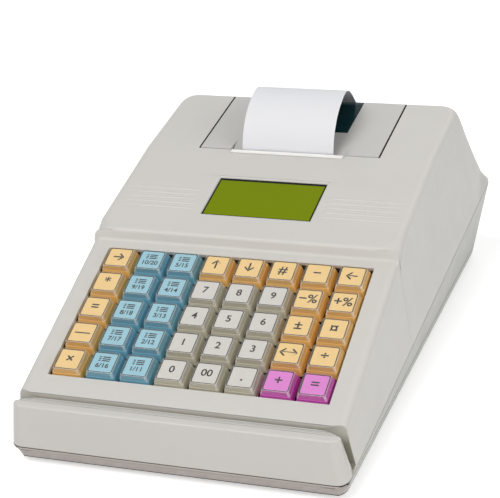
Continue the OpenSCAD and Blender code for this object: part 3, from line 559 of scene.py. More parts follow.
def piece(obj, body, slot_name, *nodes):
    """Attaches a finished object to a body, so that it rides on it, and hides the CAD nodes that it
    stands for.
    """
    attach(obj, body)
    if nodes:
        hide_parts(*nodes)
    return obj


def finished(obj, bevel, surface, body, slot_name, *nodes):
    """Rounds the edges of an object of one material, dresses it and attaches it to its body."""
    soften(obj, bevel)
    dress(obj, surface)
    return piece(obj, body, slot_name, *nodes)


# --- camera
CAMERA_AT, CAMERA_LENS = (0.2984, -0.8214, 0.4426), 117.72      # m, mm


def set_camera():
    """Camera as fitted to the view, from its right, down and forward directions."""
    right, down, forward = (Vector(v) for v in (
        (0.9439, 0.3241, -0.0638), (0.0739, -0.3958, -0.9154), (-0.3219, 0.8594, -0.3975)))
    turn = Matrix((right, -down, -forward)).transposed()
    camera = new_object("camera", bpy.data.cameras.new("camera"))
    camera.matrix_world = Matrix.LocRotScale(Vector(CAMERA_AT), turn, None)
    camera.data.lens, camera.data.sensor_width, camera.data.clip_start = CAMERA_LENS, 36, 0.05
    bpy.context.scene.camera = camera


# --- case
LEAST_R = 0.3
READER_WINDOW = (-6, 6, -18, -9)        # across and up the slot's wall


def clamped(v):
    return min(max(v, 0), 1)


def cover_section(d, line, inset, skirt, steps):
    """Section at a distance d from the front; the hollow's are inset and have a skirt."""
    zt = height_on(line, d) - (0 if inset else round_in(d, BAR_EDGE_R))
    zw = waist_z(d)
    wt = TOP_HALF - inset - ends_in(d)
    ww = waist_half(d) - inset - ends_in(d)
    turn = clamped((d - REAR_EDGE + REAR_CORNER_R) / REAR_CORNER_R)
    fade = 0 if d < DISPLAY_START else max(0, 1 - (d - DISPLAY_START) / STEP_FADE)
    r = BAR_EDGE_R if d <= BAR_RUN else \
        EDGE_R + (REAR_CORNER_R - EDGE_R) * turn * turn + STEP_MITRE * fade - inset / 2
    side_r = max(min(r * (1 + turn / 2), (zt - zw) * 0.7), LEAST_R)
    waist, corner, top = Vector((ww, zw)), Vector((wt, zt)), Vector((0, zt))
    p = corner + unit(waist - corner) * side_r
    q = corner + unit(top - corner) * max(r, LEAST_R)
    rim = [Vector((ww, zw - skirt)), Vector((ww, zw - 1))] if skirt else \
        [Vector((ww - 0.5, zw)), Vector((ww, zw + 0.4))]
    side = rim + [p.lerp(corner, s).lerp(corner.lerp(q, s), s) for s in spread(0, 1, steps)]
    both = side + [Vector((-v.x, v.y)) for v in reversed(side)]
    return [(v.x, FRONT + d, FOOT + v.y) for v in both]


def card_slot_cutters():
    """The straight slot, and its mouths, where both walls bend away from the card."""
    x0, x1, z0, z1 = READER_WINDOW
    cutters = [block("slot", (-200, -SLOT_GAP, -SLOT_DEPTH), (200, 0, 10)),
               block("reader_window", (x0, -1, z0), (x1, WALL + 1, z1))]
    for s in (-1, 1):
        def x_at(t):
            return s * (WAIST_HALF[0] + SLOT_FLARE_L * (t - 1))
        mouth = []
        for z in (-SLOT_DEPTH, 10):
            flare, back = (lerp(*f, 1 + z / SLOT_DEPTH) for f in (SLOT_FLARE, SLOT_FLARE_BACK))
            outline = [(x_at(t), -SLOT_GAP - flare * t * t) for t in spread(0, FLARE_REACH, 20)]
            outline += [(x_at(FLARE_REACH), back * FLARE_REACH), (x_at(0), 0)]
            mouth.append([(x, y, z) for x, y in outline])
        cutters.append(loft("mouth", mouth))
    return [placed(c, SLOT_WALL) for c in cutters]


def slot_room():
    """Hollow between the slot's wall and the keyboard, kept clear of the flared mouths."""
    narrow, wide = WAIST_HALF[0] - SLOT_FLARE_L, TOP_HALF - WALL - 1
    rooms = []
    for half, start in ((narrow, WALL), (wide, WALL + SLOT_FLARE_BACK[1])):
        room = placed(block("room", (-half, -20, -60), (half, 30, -WALL)), KEY_DECK)
        behind = block("behind_slot", (-half, start, -SLOT_DEPTH - 8), (half, 50, 20))
        rooms.append(combine(room, [placed(behind, SLOT_WALL)], "INTERSECT"))
    return rooms


def shade_slot(obj):
    """Painted shade: second material, darker with depth, on the walls and the floor of the card
    slot.
    """
    back = SLOT_WALL.inverted()
    for polygon in obj.data.polygons:
        place, n = back @ polygon.center / MM, polygon.normal
        inside = -SLOT_GAP - SLOT_FLARE[1] - 0.5 < place.y < SLOT_FLARE_BACK[1] + 0.3
        wall = place.z < -0.5 and abs(n.z) < 0.7 and abs(n.x) < 0.8
        if inside and (wall or -SLOT_DEPTH - 1 < place.z < 2 - SLOT_DEPTH):
            polygon.material_index = 1


def boss_z(y):
    """Where the cover's screw bosses stand on the tray's."""
    return FOOT + waist_z(y - FRONT) + BOSS_UP


def at_bosses(name, low, high, r):
    """One upright cylinder at each screw place; low and high are functions of y."""
    return merged([pole(name, s * BOSS_X, y, low(y), high(y), r) for s in (-1, 1) for y in BOSS_Y])


def shade_lid_gap(obj, index):
    """Painted shade: dark material on the upright faces on both sides of the gap round the lid."""
    half = LID_W / 2
    obj.data.materials.append(SEAM_SHADE.material)
    for polygon in obj.data.polygons:
        centre, n = polygon.center / MM, polygon.normal
        if abs(n.x) > 0.9 and half - 0.5 < abs(centre.x - SHIFT) < half + LID_GAP + 0.1 \
                and centre.y > FRONT + LID_START - 1:
            polygon.material_index = index


def lid_cutters():
    """Opening of the lid, its hinge seat, the paper exit and the seat of the tear bar."""
    low, high = FOOT + 40, FOOT + 200
    front = FRONT + LID_START
    side = LID_W / 2 + LID_GAP
    y, z = HINGE_YZ
    rear = y + HINGE_R * math.sin(math.radians(REAR_FALL)) + LID_GAP
    relief = placed(
        block("relief", (-side, 0, 0), (side, HINGE_R + LID_GAP, 8)),
        Matrix.Translation(Vector((0, y, z)) * MM)
        @ Matrix.Rotation(math.radians(90 - REAR_FALL - LID_OPENS), 4, "X"))
    bar_y, bar_z = tear_bar_at()
    cutters = [
        block("lid_hole", (-side, front - LID_GAP, low), (side, rear, high)),
        rod("hinge_seat", -side, side, y, z, HINGE_R + LID_GAP),
        rod("pin_seat", -side - PIN_L, side + PIN_L, y, z, PIN_R + 0.06),
        relief,
        block("exit", (-NOTCH_HALF, front - EXIT_L, low), (NOTCH_HALF, front + 1, high)),
        block("bar_seat", (-BAR_HALF - 0.1, bar_y - BAR_L - 0.1, bar_z - BAR_SUNK - 0.05),
              (BAR_HALF + 0.1, front, high))]
    return [placed(c, SHIFTED) for c in cutters]


def window_cutter():
    """Display opening with its bevelled rim."""
    over = WINDOW_RIM + 0.1
    sections = []
    for e, z in ((0, -10), (0, -WINDOW_RIM), (over, 0.1), (over, 10)):
        x0, x1 = SHIFT - WINDOW_W / 2 - e, SHIFT + WINDOW_W / 2 + e
        y0, y1 = WINDOW_START - e, WINDOW_START + WINDOW_L + e
        sections.append([(x0, y0, z), (x1, y0, z), (x1, y1, z), (x0, y1, z)])
    return placed(loft("window", sections), DISPLAY_DECK)


def moulded_line(side, y):
    """Low ridge beside the display, which fades out at both ends."""
    start, end = RIB_X
    profile = [(-1, -RIB_SUNK), (-0.9, 0), (-0.45, RIB_H * 0.8), (0, RIB_H),
               (0.45, RIB_H * 0.8), (0.9, 0), (1, -RIB_SUNK)]
    sections = [[(side * x, y + v, z - drop) for v, z in profile]
                for x, drop in ((start, RIB_H), (start + 4, 0), (end - 6, 0), (end, RIB_H))]
    line = placed(loft("line", sections), DISPLAY_DECK)
    for polygon in line.data.polygons:
        polygon.use_smooth = True
    return line


def key_well():
    """Opening for the keyboard."""
    half_x, half_y = (((count - 1) * KEY_PITCH + KEY_SKIRT) / 2 + WELL_MARGIN
                      for count in (COLUMNS, ROWS))
    low, high = (-half_x, KEYS_MID - half_y, -20), (half_x, KEYS_MID + half_y, 20)
    return placed(block("well", low, high), KEY_DECK)


def top_cover():
    outer = loft("top_cover_shell", [cover_section(d, LINE, 0, 0, 12) for d in stations(LINE)])
    inner_line = inset_line(LINE, WALL)
    inner_ds = [30] + [p.x for p in inner_line if 31 < p.x < LENGTH - 12]
    inner_ds += [LENGTH - 11, LENGTH - 6, LENGTH - 4.5]
    inner = loft("hollow", [cover_section(d, inner_line, WALL, 8, 6) for d in inner_ds])
    combine(inner, [at_bosses("boss", boss_z, lambda y: 300, BOSS_R)])
    holes = at_bosses("screw_hole", lambda y: boss_z(y) - 1, lambda y: boss_z(y) + 10,
                      SCREW_R + 0.02)
    combine(outer, [inner, holes, key_well()] + slot_room() + card_slot_cutters())
    combine(outer, [window_cutter()] + lid_cutters())
    soften(outer, COVER_BEVEL)
    merged([outer] + [moulded_line(s, WINDOW_START + RIB_START + i * RIB_PITCH)
                      for s in (-1, 1) for i in range(RIB_COUNT)])
    dress(outer, SHELL, SLOT_SHADE)
    shade_slot(outer)
    shade_lid_gap(outer, 2)
    return piece(outer, "case", "case_shell", "top_cover")


def seam_gap(d):
    """The parting gap is open at the front and closes to a hair line along the sides."""
    return lerp(SEAM, 0.08, clamped((d - GROOVE_START) / 4))


def side_groove(d, foot, rim):
    """Moulded line that carries the front seam on along the tray's sides, level with the floor."""
    start, end = (d - GROOVE_START) / 2, (LENGTH - GROOVE_REAR - d) / 4
    depth = GROOVE_DEPTH * min(clamped(start), clamped(end))
    points = []
    for h, inset in ((-0.1, 0), (0, depth), (0.45, depth), (0.55, 0)):
        z = min(max(GROOVE_Z + h, foot[1] + 0.02), rim[1] - 0.02)
        points.append((lerp(foot[0], rim[0], (z - foot[1]) / (rim[1] - foot[1])) - inset, z))
    return points


def tray_section(d, inset, rise):
    """Section at a distance d from the front. The hollow's are inset and rise past the waist."""
    nose = max(0, (WAIST_Z[0] - NOSE_DROP) * (1 - d / NOSE_L))
    zb = WALL if inset else nose
    zw = waist_z(d) + rise - max(0, TRAY_EDGE - d)
    wb = BOTTOM_HALF - inset - round_in(d, BOTTOM_CORNER_R) - round_in(LENGTH - d, REAR_CORNER_R)
    ww = waist_half(d) - inset - ends_in(d)
    gap = seam_gap(d)
    rim = [(ww, zw)] if inset else [(ww, zw - gap - 0.35), (ww - 0.35, zw - gap)]
    side = [(0, zb), (wb - 1.5, zb), (wb - 0.5, zb + 0.3)]
    side.append((wb - 0.1, zb + min(1.2, (zw - gap - zb) / 3)))
    side += ([] if inset else side_groove(d, side[-1], rim[0])) + rim
    both = side + [(-x, z) for x, z in reversed(side[1:])]
    return [(x, FRONT + d, FOOT + z) for x, z in both]


def lip_section(d):
    """Rim of the tray that stands inside the seam, set back all round."""
    ww = waist_half(d) - SEAM_IN - round_in(d - SEAM_IN, FRONT_CORNER_R - SEAM_IN) \
        - round_in(LENGTH - SEAM_IN - d, REAR_CORNER_R - SEAM_IN)
    return [(x, FRONT + d, FOOT + waist_z(d) + h)
            for x, h in ((-ww, -SEAM - 1), (ww, -SEAM - 1), (ww, 0), (-ww, 0))]


def tray_lip():
    ends = end_stations(FRONT_CORNER_R - SEAM_IN, 10)
    ends += [LENGTH - 2 * SEAM_IN - d for d in end_stations(REAR_CORNER_R - SEAM_IN, 12)]
    return loft("lip", [lip_section(SEAM_IN + d) for d in sorted(ends)])


def shade_seam(obj):
    """Painted shade: dark material in the gap, the groove and a painted shadow along the foot,
    where no light gets in, and the darker painted-shade side plastic everywhere but on the nose.
    """
    for polygon in obj.data.polygons:
        centre, n = polygon.center / MM, polygon.normal
        d, z = centre.y - FRONT, centre.z - FOOT
        height, gap = z - waist_z(d), seam_gap(d)
        seam = n.z > 0.8 and abs(height + gap) < 0.08 or -gap < height < 0.2
        groove = GROOVE_START < d < LENGTH - GROOVE_REAR - 1 and -0.12 < z - GROOVE_Z < 0.52 \
            and abs(centre.x) > 60
        foot_shadow = z < 0.9 and abs(n.z) < 0.95
        if seam or groove or foot_shadow:
            polygon.material_index = 1
        elif d > 5 or z > GROOVE_Z + 0.6:
            polygon.material_index = 2


def tray_posts():
    """Screw bosses, printer pillars and board posts on the tray's floor."""
    rear_pillar = ROLL.x + PILLAR_BEHIND
    posts = [pole("boss", s * BOSS_X, y, FOOT + WALL - 0.5, boss_z(y), BOSS_R)
             for s in (-1, 1) for y in BOSS_Y]
    posts += [pole("pillar", SHIFT + s * PILLAR_X, y, FOOT + 1, FOOT + PILLAR_H, PILLAR_R)
              for s in (-1, 1) for y in (ROLL.x - PILLAR_AHEAD, rear_pillar)]
    posts += [pole("board_post", s * POST_X, y, FOOT + 1, FOOT + WALL + POST_H, POST_R)
              for s in (-1, 1) for y in (rear_pillar - 16.6, REAR - WALL - 10.6)]
    return merged(posts)


# Openings in the rear wall: across and up, for three sockets and the switch
PORTS = [(-67, 12.6, -57, 24), (-40, 12.6, -8, 25.6), (11, 12.6, 25, 26), (50.3, 26.4, 69.7, 39.6)]
SWITCH_RECESS, SWITCH_FRAME = (48.5, 24.5, 71.5, 41.5), (46.5, 22.5, 73.5, 43.5)


def rear_block(name, opening, y0, y1):
    x0, z0, x1, z1 = opening
    return block(name, (x0, REAR + y0, z0), (x1, REAR + y1, z1))


def base_tray():
    front = end_stations(FRONT_CORNER_R, 12) + end_stations(BOTTOM_CORNER_R, 8)
    rear = [LENGTH - s for s in end_stations(REAR_CORNER_R, 14)]
    ds = sorted(set(front + [0.5, 1, 1.9, 2.9, 3.3, NOSE_L, 60, 180] + rear))
    outer = loft("base_tray_shell", [tray_section(d, 0, 0) for d in ds])
    inner_ds = [WALL + 3.8, 8.5, 12, 60, 180]
    inner_ds += [LENGTH - s for s in (12, 7, WALL + 1, WALL)]
    inner = loft("hollow", [tray_section(d, WALL, 6) for d in inner_ds])
    cutters = [rear_block("port", port, -9, 1) for port in PORTS]
    cutters.append(rear_block("recess", SWITCH_RECESS, -3, 1))
    cutters.append(at_bosses("screw_hole", lambda y: 1, lambda y: 200, SCREW_R + 0.3))
    cutters.append(at_bosses("screw_seat", lambda y: FOOT - 1, lambda y: FOOT + 3.2, 3.2))
    combine(outer, [tray_lip()], "UNION")
    combine(outer, [inner])
    combine(outer, [rear_block("frame_box", SWITCH_FRAME, -WALL - 3, -1), tray_posts()], "UNION")
    combine(outer, cutters)
    soften(outer, TRAY_BEVEL)
    dress(outer, TRAY_PAINTED_SHADE, SEAM_SHADE, TRAY_SIDE_PAINTED_SHADE)
    shade_seam(outer)
    return piece(outer, "case", "case_tray", "base_tray")


# --- lid and paper
def lid_outline(start, depth, thick, slope_l):
    """Side view [y, z] of a sheet along the lid deck, round the rear edge and down the apron."""
    def edge(extra):
        slope = turned(-REAR_FALL)
        first = Vector((LID_START + start, LID_Z + start * math.tan(math.radians(LID_TILT)))) \
            - left_of(turned(LID_TILT)) * extra
        last = Vector((REAR_EDGE, REAR_EDGE_Z)) + slope * slope_l - left_of(slope) * extra
        return [first] + rear_arc(REAR_EDGE_R - extra, 14) + [last]
    both = edge(depth) + edge(depth + thick)[::-1]
    return [(FRONT + p.x, FOOT + p.y) for p in both]


def printer_lid():
    half = LID_W / 2 - SEAM_EXTRA
    y, z = HINGE_YZ
    lid = across("printer_lid_shell", lid_outline(0, 0, WALL, LID_DROP), -half, half)
    added = [rod("barrel", -half, half, y, z, HINGE_R)]
    flange = lid_outline(3, WALL - 0.1, 4, LID_DROP - 7)
    for x in (-half, half - FLANGE_T):
        added.append(across("flange", flange, x + 0.01, x + FLANGE_T - 0.01))
    combine(lid, added, "UNION")
    rise = NOTCH_L * math.tan(math.radians(LID_TILT))
    notch = [(FRONT + LID_START + d, FOOT + LID_Z + h) for d, h in (
        (-1, -WALL - 1), (0.6, -WALL), (NOTCH_L, rise + 0.01), (NOTCH_L, 10), (-1, 10))]
    pocket = lid_outline(VIEW_START, -1, 1 + PANE_T + 0.05, VIEW_END)
    light = lid_outline(VIEW_START + VIEW_LEDGE, -1, 8, VIEW_END - VIEW_LEDGE)
    light_half = VIEW_W / 2 - VIEW_LEDGE
    combine(lid, [across("pocket", pocket, -VIEW_W / 2, VIEW_W / 2),
                  across("light", light, -light_half, light_half),
                  across("notch", notch, -NOTCH_HALF, NOTCH_HALF)])
    soften(placed(lid, SHIFTED), LID_BEVEL)
    dress(lid, LID_SHELL)
    shade_lid_gap(lid, 1)
    return piece(lid, "lid", "case_shell", "printer_lid")


def lid_window():
    outline = lid_outline(VIEW_START + PANE_GAP, 0.1, PANE_T - 0.1, VIEW_END - PANE_GAP)
    half = VIEW_W / 2 - PANE_GAP
    pane = across("window_pane", outline, SHIFT - half, SHIFT + half)
    return finished(pane, PANE_BEVEL, SMOKED, "lid", "smoked_window", "lid_window")


def tear_bar_at():
    """Front top edge [y, z] of the paper exit, where the bar sits."""
    d = LID_START - EXIT_L
    return FRONT + d, FOOT + LID_Z - EXIT_L * math.tan(math.radians(DISPLAY_TILT))


def tear_bar():
    """Flat strip with a skirt into the exit and a saw edge along its rear."""
    y, z = tear_bar_at()
    low = z - BAR_SUNK
    top, pitch = low + BAR_T, 2 * BAR_HALF / BAR_TEETH
    bar = block("tear_bar_strip", (-BAR_HALF, y - BAR_L, low), (BAR_HALF, y, top))
    skirt = block("skirt", (-BAR_HALF, y - 0.5, low - 4.4), (BAR_HALF, y + 0.2, low + 0.5))
    saw = [(-BAR_HALF, y - 0.2), (BAR_HALF, y - 0.2)]
    for i in range(BAR_TEETH, 0, -1):
        saw += [(-BAR_HALF + i * pitch - 0.01, y), (-BAR_HALF + (i - 0.5) * pitch, y + 0.5)]
    saw.append((-BAR_HALF, y))
    blade = loft("blade", [[(px, py, pz) for px, py in saw] for pz in (top - 0.55, top - 0.05)])
    combine(bar, [skirt, blade], "UNION")
    placed(bar, SHIFTED)
    return finished(bar, BAR_BEVEL, WHITE_BAR, "case", "tear_bar_white", "tear_bar")


def web_path():
    """Middle line [y, z] of the paper, from the roll to the free end of the receipt."""
    web_r, roll_r = PLATEN_R + 0.2, ROLL_R + 0.3
    gap = PLATEN - ROLL
    away = math.degrees(math.atan2(gap.y, gap.x) + math.acos((roll_r - web_r) / gap.length))
    rise = Vector((SLOT_PLANE, FOOT + LID_Z - 0.5))
    crest = Vector((SLOT_PLANE + CREST_RUN, FOOT + CREST_Z))
    end = Vector((FRONT + REAR_EDGE + 3.9, FOOT + REAR_EDGE_Z - 3.0))
    line = [ROLL + turned(away) * roll_r]
    line += [PLATEN + turned(a) * web_r for a in spread(away, 180, 6)]
    line += bezier(rise, rise + Vector((0.5, 12.5)), crest - Vector((19, 0)), crest, 24)
    return line + bezier(crest, crest + Vector((13, 0)), end + Vector((-16, 9)), end, 24)[1:]


def drift(p):
    """How far the curl leans to the left, from its front to its free end."""
    far = max(0, (p.x - SLOT_PLANE - DRIFT_START) / DRIFT_RUN) if p.y > FOOT + LID_Z else 0
    return PAPER_DRIFT * far ** 1.5


def paper_tape():
    line = web_path()
    outline = inset_line(line, PAPER_T / 2) + inset_line(line, -PAPER_T / 2)[::-1]
    columns = spread(SHIFT - PAPER_W / 2, SHIFT + PAPER_W / 2, 8)
    tape = loft("receipt_web", [[(x - drift(p), p.x, p.y) for p in outline] for x in columns])
    finished(tape, 0, PAPER, "case", "paper", "paper_tape")
    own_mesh(tape)
    return tape


# --- display
DISPLAY_PARTS_Z = {"bezel": (-7.5, -2.55), "collar": (-2.6, -0.95), "glass": (-1.0, -0.75),
                   "board": (-9.1, -7.55)}


def display_block(part, left, right, front, rear):
    """Block that reaches past the edges of the window by these lengths, or stays inside them."""
    low, high = DISPLAY_PARTS_Z[part]
    return block("display_" + part, (-WINDOW_W / 2 - left, -WINDOW_L / 2 - front, low),
                 (WINDOW_W / 2 + right, WINDOW_L / 2 + rear, high))


def display():
    centre = Vector((SHIFT, WINDOW_START + WINDOW_L / 2, 0)) * MM
    case = display_block("bezel", 4, 4, 4, 4)
    combine(case, [display_block("collar", -0.1, -0.1, -0.1, -0.1)], "UNION")
    glass = display_block("glass", -1.1, -0.7, -0.7, -2.4)
    board = display_block("board", 9, 9, 8, 8)
    for obj in (case, glass, board):
        placed(obj, DISPLAY_DECK @ Matrix.Translation(centre))
    finished(case, DISPLAY_BEVEL, BLACK, "case", "black_plastic", "lcd_panel")
    finished(glass, DISPLAY_BEVEL, LCD, "case", "display_olive")
    finished(board, DISPLAY_BEVEL, BOARD, "case", "circuit_board")


# --- keys
LEGENDS = [
    ["→", "10/20", "5/15", "↑", "↓", "#", "−", "←"],
    ["*", "9/19", "4/14", "7", "8", "9", "−%", "+%"],
    ["=", "8/18", "3/13", "4", "5", "6", "±", "¤"],
    ["—", "7/17", "2/12", "1", "2", "3", "↔", "÷"],
    ["×", "6/16", "1/11", "0", "00", ".", "+", "="],
]
# The skirt ends in a shoulder that carries the clear hood; a post under the hood has the label
SHOULDER_Z, HOOD_T, STEM_R, STEM_END = -0.6, 0.55, 2.5, -14.5
SHOULDER_SHARE = (KEY_PROUD - SHOULDER_Z) / (KEY_PROUD + SKIRT_DEPTH)
SHOULDER_W = KEY_TOP + (KEY_SKIRT - KEY_TOP) * SHOULDER_SHARE
POST_TOP, POST_FOOT = KEY_TOP - 0.9, SHOULDER_W - 1.2
LABEL_Z, LABEL_W, LABEL_T = KEY_PROUD - HOOD_T, POST_TOP - 0.1, 0.09
INK_Z, INK_T = LABEL_Z + 0.035, 0.03
# Size of a legend, how much bolder it is made, and its place up the key
LONG_TEXT, DIGITS, SIGNS = (4.3, 0.08, -2.2), (6.4, 0.12, 0.2), (8.5, 0.12, 0.2)
MARK_COLUMNS, MARK_ROWS, MARK_H = ((-3.2, -2.0), (-1.2, 3.2)), (0.9, 2.2, 3.5), 0.7


def key_look(row, column):
    if row == ROWS and column >= 7:
        return "magenta"
    if column in (2, 3):
        return "blue"
    return "white" if row > 1 and 4 <= column <= 6 else "yellow"


def key_place(row, column):
    x = (column - (COLUMNS + 1) / 2) * KEY_PITCH
    y = KEYS_MID + ((ROWS + 1) / 2 - row) * KEY_PITCH
    return KEY_DECK @ Matrix.Translation(Vector((x, y, 0)) * MM)


def square(width, radius, z, steps=5):
    """Square with rounded corners at height z."""
    points = []
    for quarter in range(4):
        centre = turned(45 + quarter * 90) * (width / 2 - radius) * math.sqrt(2)
        for a in spread(quarter * 90, quarter * 90 + 90, steps):
            p = centre + turned(a) * radius
            points.append((p.x, p.y, z))
    return points


def ring_mesh(outer, inner, height):
    """Flat closed frame between two outlines with equal numbers of points."""
    n = len(outer)
    raised = [(x, y, z + height) for x, y, z in outer + inner]
    faces = []
    for i in range(n):
        j = (i + 1) % n
        faces += [[i, j, n + j, n + i], [2 * n + i, 3 * n + i, 3 * n + j, 2 * n + j],
                  [i, 2 * n + i, 2 * n + j, j], [n + i, n + j, 3 * n + j, 3 * n + i]]
    return new_mesh("ring", outer + inner + raised, faces)


def squares(name, *sections):
    """Skin through rounded squares, each given by its width, corner radius and height."""
    return loft(name, [square(*section) for section in sections])


def key_cap():
    return squares(
        "cap", (KEY_SKIRT - 0.5, 1.0, -SKIRT_DEPTH), (KEY_SKIRT, 1.2, -SKIRT_DEPTH + 0.3),
        (SHOULDER_W + 0.12, 1.4, SHOULDER_Z - 0.25), (SHOULDER_W - 0.3, 1.4, SHOULDER_Z),
        (POST_FOOT + 0.3, 1.2, SHOULDER_Z + 0.02), (POST_FOOT, 1.1, SHOULDER_Z + 0.3),
        (POST_TOP + 0.1, 1.1, LABEL_Z - 0.5), (POST_TOP - 0.1, 1.0, LABEL_Z - 0.1))


def key_hood():
    return squares(
        "hood", (POST_TOP + 0.2, 1.2, LABEL_Z + 0.12), (POST_TOP + 0.25, 1.2, LABEL_Z - 0.5),
        (POST_FOOT + 0.35, 1.2, SHOULDER_Z + 0.1), (SHOULDER_W + 0.1, 1.5, SHOULDER_Z + 0.1),
        (SHOULDER_W + 0.1, 1.5, SHOULDER_Z + 0.55), (KEY_TOP + 0.05, 1.8, KEY_PROUD - 0.4),
        (KEY_TOP - 0.25, 1.8, KEY_PROUD - 0.1), (KEY_TOP - 0.7, 1.6, KEY_PROUD))


def shared_meshes():
    """Meshes that all keys share, made once at the middle of the deck frame."""
    stem = loft("stem", [[(x, y, z) for x, y in circle(0, 0, STEM_R, 24)]
                         for z in (STEM_END, -SKIRT_DEPTH + 0.1)])
    label = squares("label", (LABEL_W, 1.0, LABEL_Z - LABEL_T), (LABEL_W, 1.0, LABEL_Z))
    frames = [square(LABEL_W - inside, radius, LABEL_Z + 0.01)
              for inside, radius in ((0.15, 1.1), (1.2, 0.9))]
    shapes = {"cap": key_cap(), "stem": stem, "hood": key_hood(), "label": label,
              "ring": ring_mesh(*frames, INK_T)}
    meshes = {}
    for name, obj in shapes.items():
        weld(obj)
        obj.data.set_sharp_from_angle(angle=math.radians(35))
        meshes[name] = obj.data
        bpy.data.objects.remove(obj)
    return meshes


def mark_hood_edges(hood):
    """Painted highlight: second material, whiter and less clear, on the bevelled rim, the corners
    and the lower rim of a clear hood.
    """
    for polygon in hood.data.polygons:
        n, c = polygon.normal, polygon.center / MM
        flat_top = abs(n.z) > 0.95
        corner = abs(n.x) > 0.3 and abs(n.y) > 0.3
        rim = c.z > KEY_PROUD - 0.5 or c.z < SHOULDER_Z + 0.1
        polygon.material_index = 1 if (corner or rim) and not flat_top else 0
    return hood


def text_mesh(text, size, bolder):
    curve = bpy.data.curves.new("legend", "FONT")
    curve.body, curve.size = text, size * MM
    curve.align_x, curve.align_y = "CENTER", "CENTER"
    curve.extrude, curve.offset = INK_T / 2 * MM, bolder * MM
    holder = new_object("legend", curve)
    depsgraph = bpy.context.evaluated_depsgraph_get()
    mesh = bpy.data.meshes.new_from_object(holder.evaluated_get(depsgraph))
    bpy.data.objects.remove(holder)
    return mesh


def add_marks(bm):
    """Bars of a small list sign above the numbers."""
    for x0, x1 in MARK_COLUMNS:
        for y in MARK_ROWS:
            centre = Vector(((x0 + x1) / 2, y + MARK_H / 2, INK_Z)) * MM
            size = Vector((x1 - x0, MARK_H, INK_T)) * MM
            bmesh.ops.create_cube(bm, size=1, matrix=Matrix.LocRotScale(centre, None, size))


def legend_object(name, text):
    long_text = "/" in text
    size, bolder, up = LONG_TEXT if long_text else DIGITS if text[0].isdigit() else SIGNS
    mesh = text_mesh(text, size, bolder)
    mesh.transform(Matrix.Translation(Vector((0, up, INK_Z)) * MM))
    with edited(mesh) as bm:
        bmesh.ops.remove_doubles(bm, verts=bm.verts, dist=0.001 * MM)
        if long_text:
            add_marks(bm)
    return new_object(name, mesh)


def key_part(name, *layers):
    """One object from shared meshes; each layer is a surface and the meshes that show it."""
    obj = new_object(name, bpy.data.meshes.new(name))
    dress(obj, *(surface for surface, _ in layers))
    with edited(obj.data) as bm:
        for index, (_, meshes) in enumerate(layers):
            first = len(bm.faces)
            for mesh in meshes:
                bm.from_mesh(mesh)
            bm.faces.ensure_lookup_table()
            for face in bm.faces[first:]:
                face.material_index = index
    return obj


def key(row, column, meshes):
    """Cap with its stem, label with its ring, clear hood and legend, on the key's own body."""
    label, look = f"row{row}_col{column}", key_look(row, column)
    plastic, card = KEY_LOOKS[look]
    cap = key_part("key_cap_" + label, (plastic, [meshes["cap"], meshes["stem"]]))
    marked = key_part("key_label_" + label, (card, [meshes["label"]]), (INK, [meshes["ring"]]))
    hood = key_part("key_hood_" + label, (CLEAR, [meshes["hood"]]), (CLEAR_EDGE_HIGHLIGHT, []))
    legend = legend_object("key_legend_" + label, LEGENDS[row - 1][column - 1])
    mark_hood_edges(hood)
    dress(legend, INK)
    for part, nodes in ((cap, ["key_" + label]), (marked, []), (hood, []), (legend, [])):
        placed(part, key_place(row, column))
        piece(part, "key_body_" + label, "key_" + look, *nodes)


def keyboard():
    meshes = shared_meshes()
    for row in range(1, ROWS + 1):
        for column in range(1, COLUMNS + 1):
            key(row, column, meshes)


# --- card reader
def card_reader():
    """Magnetic head module behind the slot's wall, its nose in the wall's window."""
    x0, x1, z0, z1 = READER_WINDOW
    body = block("card_reader_body", (-16, WALL, -21), (16, 8.4, -5))
    nose = block("nose", (x0 + 1.5, 0.4, z0 + 1), (x1 - 1.5, WALL + 0.1, z1 - 1))
    combine(body, [nose], "UNION")
    holes = merged([pole("hole", x, 5.4, -22, -4, 1.2) for x in (-12, 12)])
    combine(body, [holes])
    placed(body, SLOT_WALL)
    return finished(body, READER_BEVEL, BLACK, "case", "black_plastic", "card_reader")


# --- CAD nodes that stay
def dress_cad_nodes():
    looks = {
        "key_frame": KEY_WELL_SHADE, "key_board": BLACK, "main_board": BOARD_AND_PARTS,
        "printer_frame": CHASSIS, "print_head": STEEL, "platen_roller": RUBBER,
        "feed_motor": STEEL, "motor_pinion": BRASS, "paper_roll": PAPER, "power_switch": RED,
        "rubber_feet": RUBBER, "case_screws": STEEL}
    for node, surface in looks.items():
        keep_flats(dress(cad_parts[node], surface))


# --- surroundings
def seen_ray(tree):
    """1 for rays that show the surroundings: from the camera, by a mirror or through glass."""
    path = tree.nodes.new("ShaderNodeLightPath")
    result = path.outputs["Is Camera Ray"]
    for output in ("Is Glossy Ray", "Is Transmission Ray"):
        either = tree.nodes.new("ShaderNodeMath")
        either.operation = "MAXIMUM"
        tree.links.new(result, either.inputs[0])
        tree.links.new(path.outputs[output], either.inputs[1])
        result = either.outputs[0]
    return result


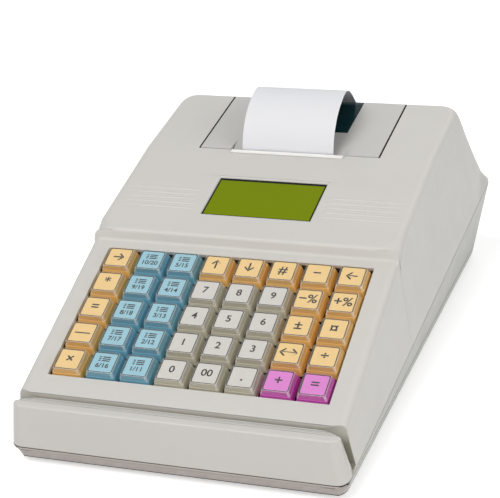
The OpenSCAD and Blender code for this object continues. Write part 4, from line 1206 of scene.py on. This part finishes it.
def scaled(tree, value, low, high):
    """low where value is 0, high where it is 1."""
    node = tree.nodes.new("ShaderNodeMapRange")
    node.inputs["To Min"].default_value = low
    node.inputs["To Max"].default_value = high
    tree.links.new(value, node.inputs["Value"])
    return node.outputs["Result"]


FLOOR_HALF = 4000
SKY_ON_PART, SKY_SEEN = 0.32, 1.0
LAMPS = {                               # place and width in m, power in W, colour
    "key_light": ((-0.45, -1.0, 1.6), 1.0, 20.5, (1, 1, 1)),
    "front_light": ((0.4, -1.9, 0.5), 1.2, 3, (1, 0.76, 0.74)),
    "fill_light": ((1.6, -0.5, 0.8), 1.4, 13, (1, 1, 1)),
    "back_light": ((0.2, 1.5, 1.5), 1.4, 5, (1, 1, 1)),
}


def lay_floor():
    """White floor that glows a little where it is seen, and not on the part."""
    corners = [(x * FLOOR_HALF, y * FLOOR_HALF, 0) for x, y in ((-1, -1), (1, -1), (1, 1), (-1, 1))]
    floor = new_mesh("floor", corners, [[0, 1, 2, 3]])
    paint = Surface("floor_paint", (236, 236, 236), 0.9, Specular_IOR_Level=0.1)
    paint.mottle(2, 0.01)
    paint.set("Emission Color", (1, 1, 1, 1))
    glow = scaled(paint.tree, seen_ray(paint.tree), 0, 0.5)
    paint.link(glow, paint.shader.inputs["Emission Strength"])
    dress(floor, paint)


def set_sky():
    world = bpy.data.worlds.new("studio")
    bpy.context.scene.world = world
    world.use_nodes = True
    tree = world.node_tree
    sky = tree.nodes["Background"]
    sky.inputs["Color"].default_value = (1, 1, 1, 1)
    strength = scaled(tree, seen_ray(tree), SKY_ON_PART, SKY_SEEN)
    tree.links.new(strength, sky.inputs["Strength"])


def set_lamps():
    """Square lamps that point at the middle of the part's foot."""
    for name, (place, width, power, colour) in LAMPS.items():
        light = bpy.data.lights.new(name, "AREA")
        light.energy, light.size, light.color = power, width, colour
        lamp = new_object(name, light)
        lamp.location = place
        lamp.rotation_euler = (-Vector(place)).to_track_quat("-Z", "Y").to_euler()


bpy.context.scene.view_settings.view_transform = "Standard"
set_camera()
lay_floor()
set_sky()
set_lamps()
top_cover()
base_tray()
printer_lid()
lid_window()
tear_bar()
paper_tape()
display()
keyboard()
card_reader()
dress_cad_nodes()
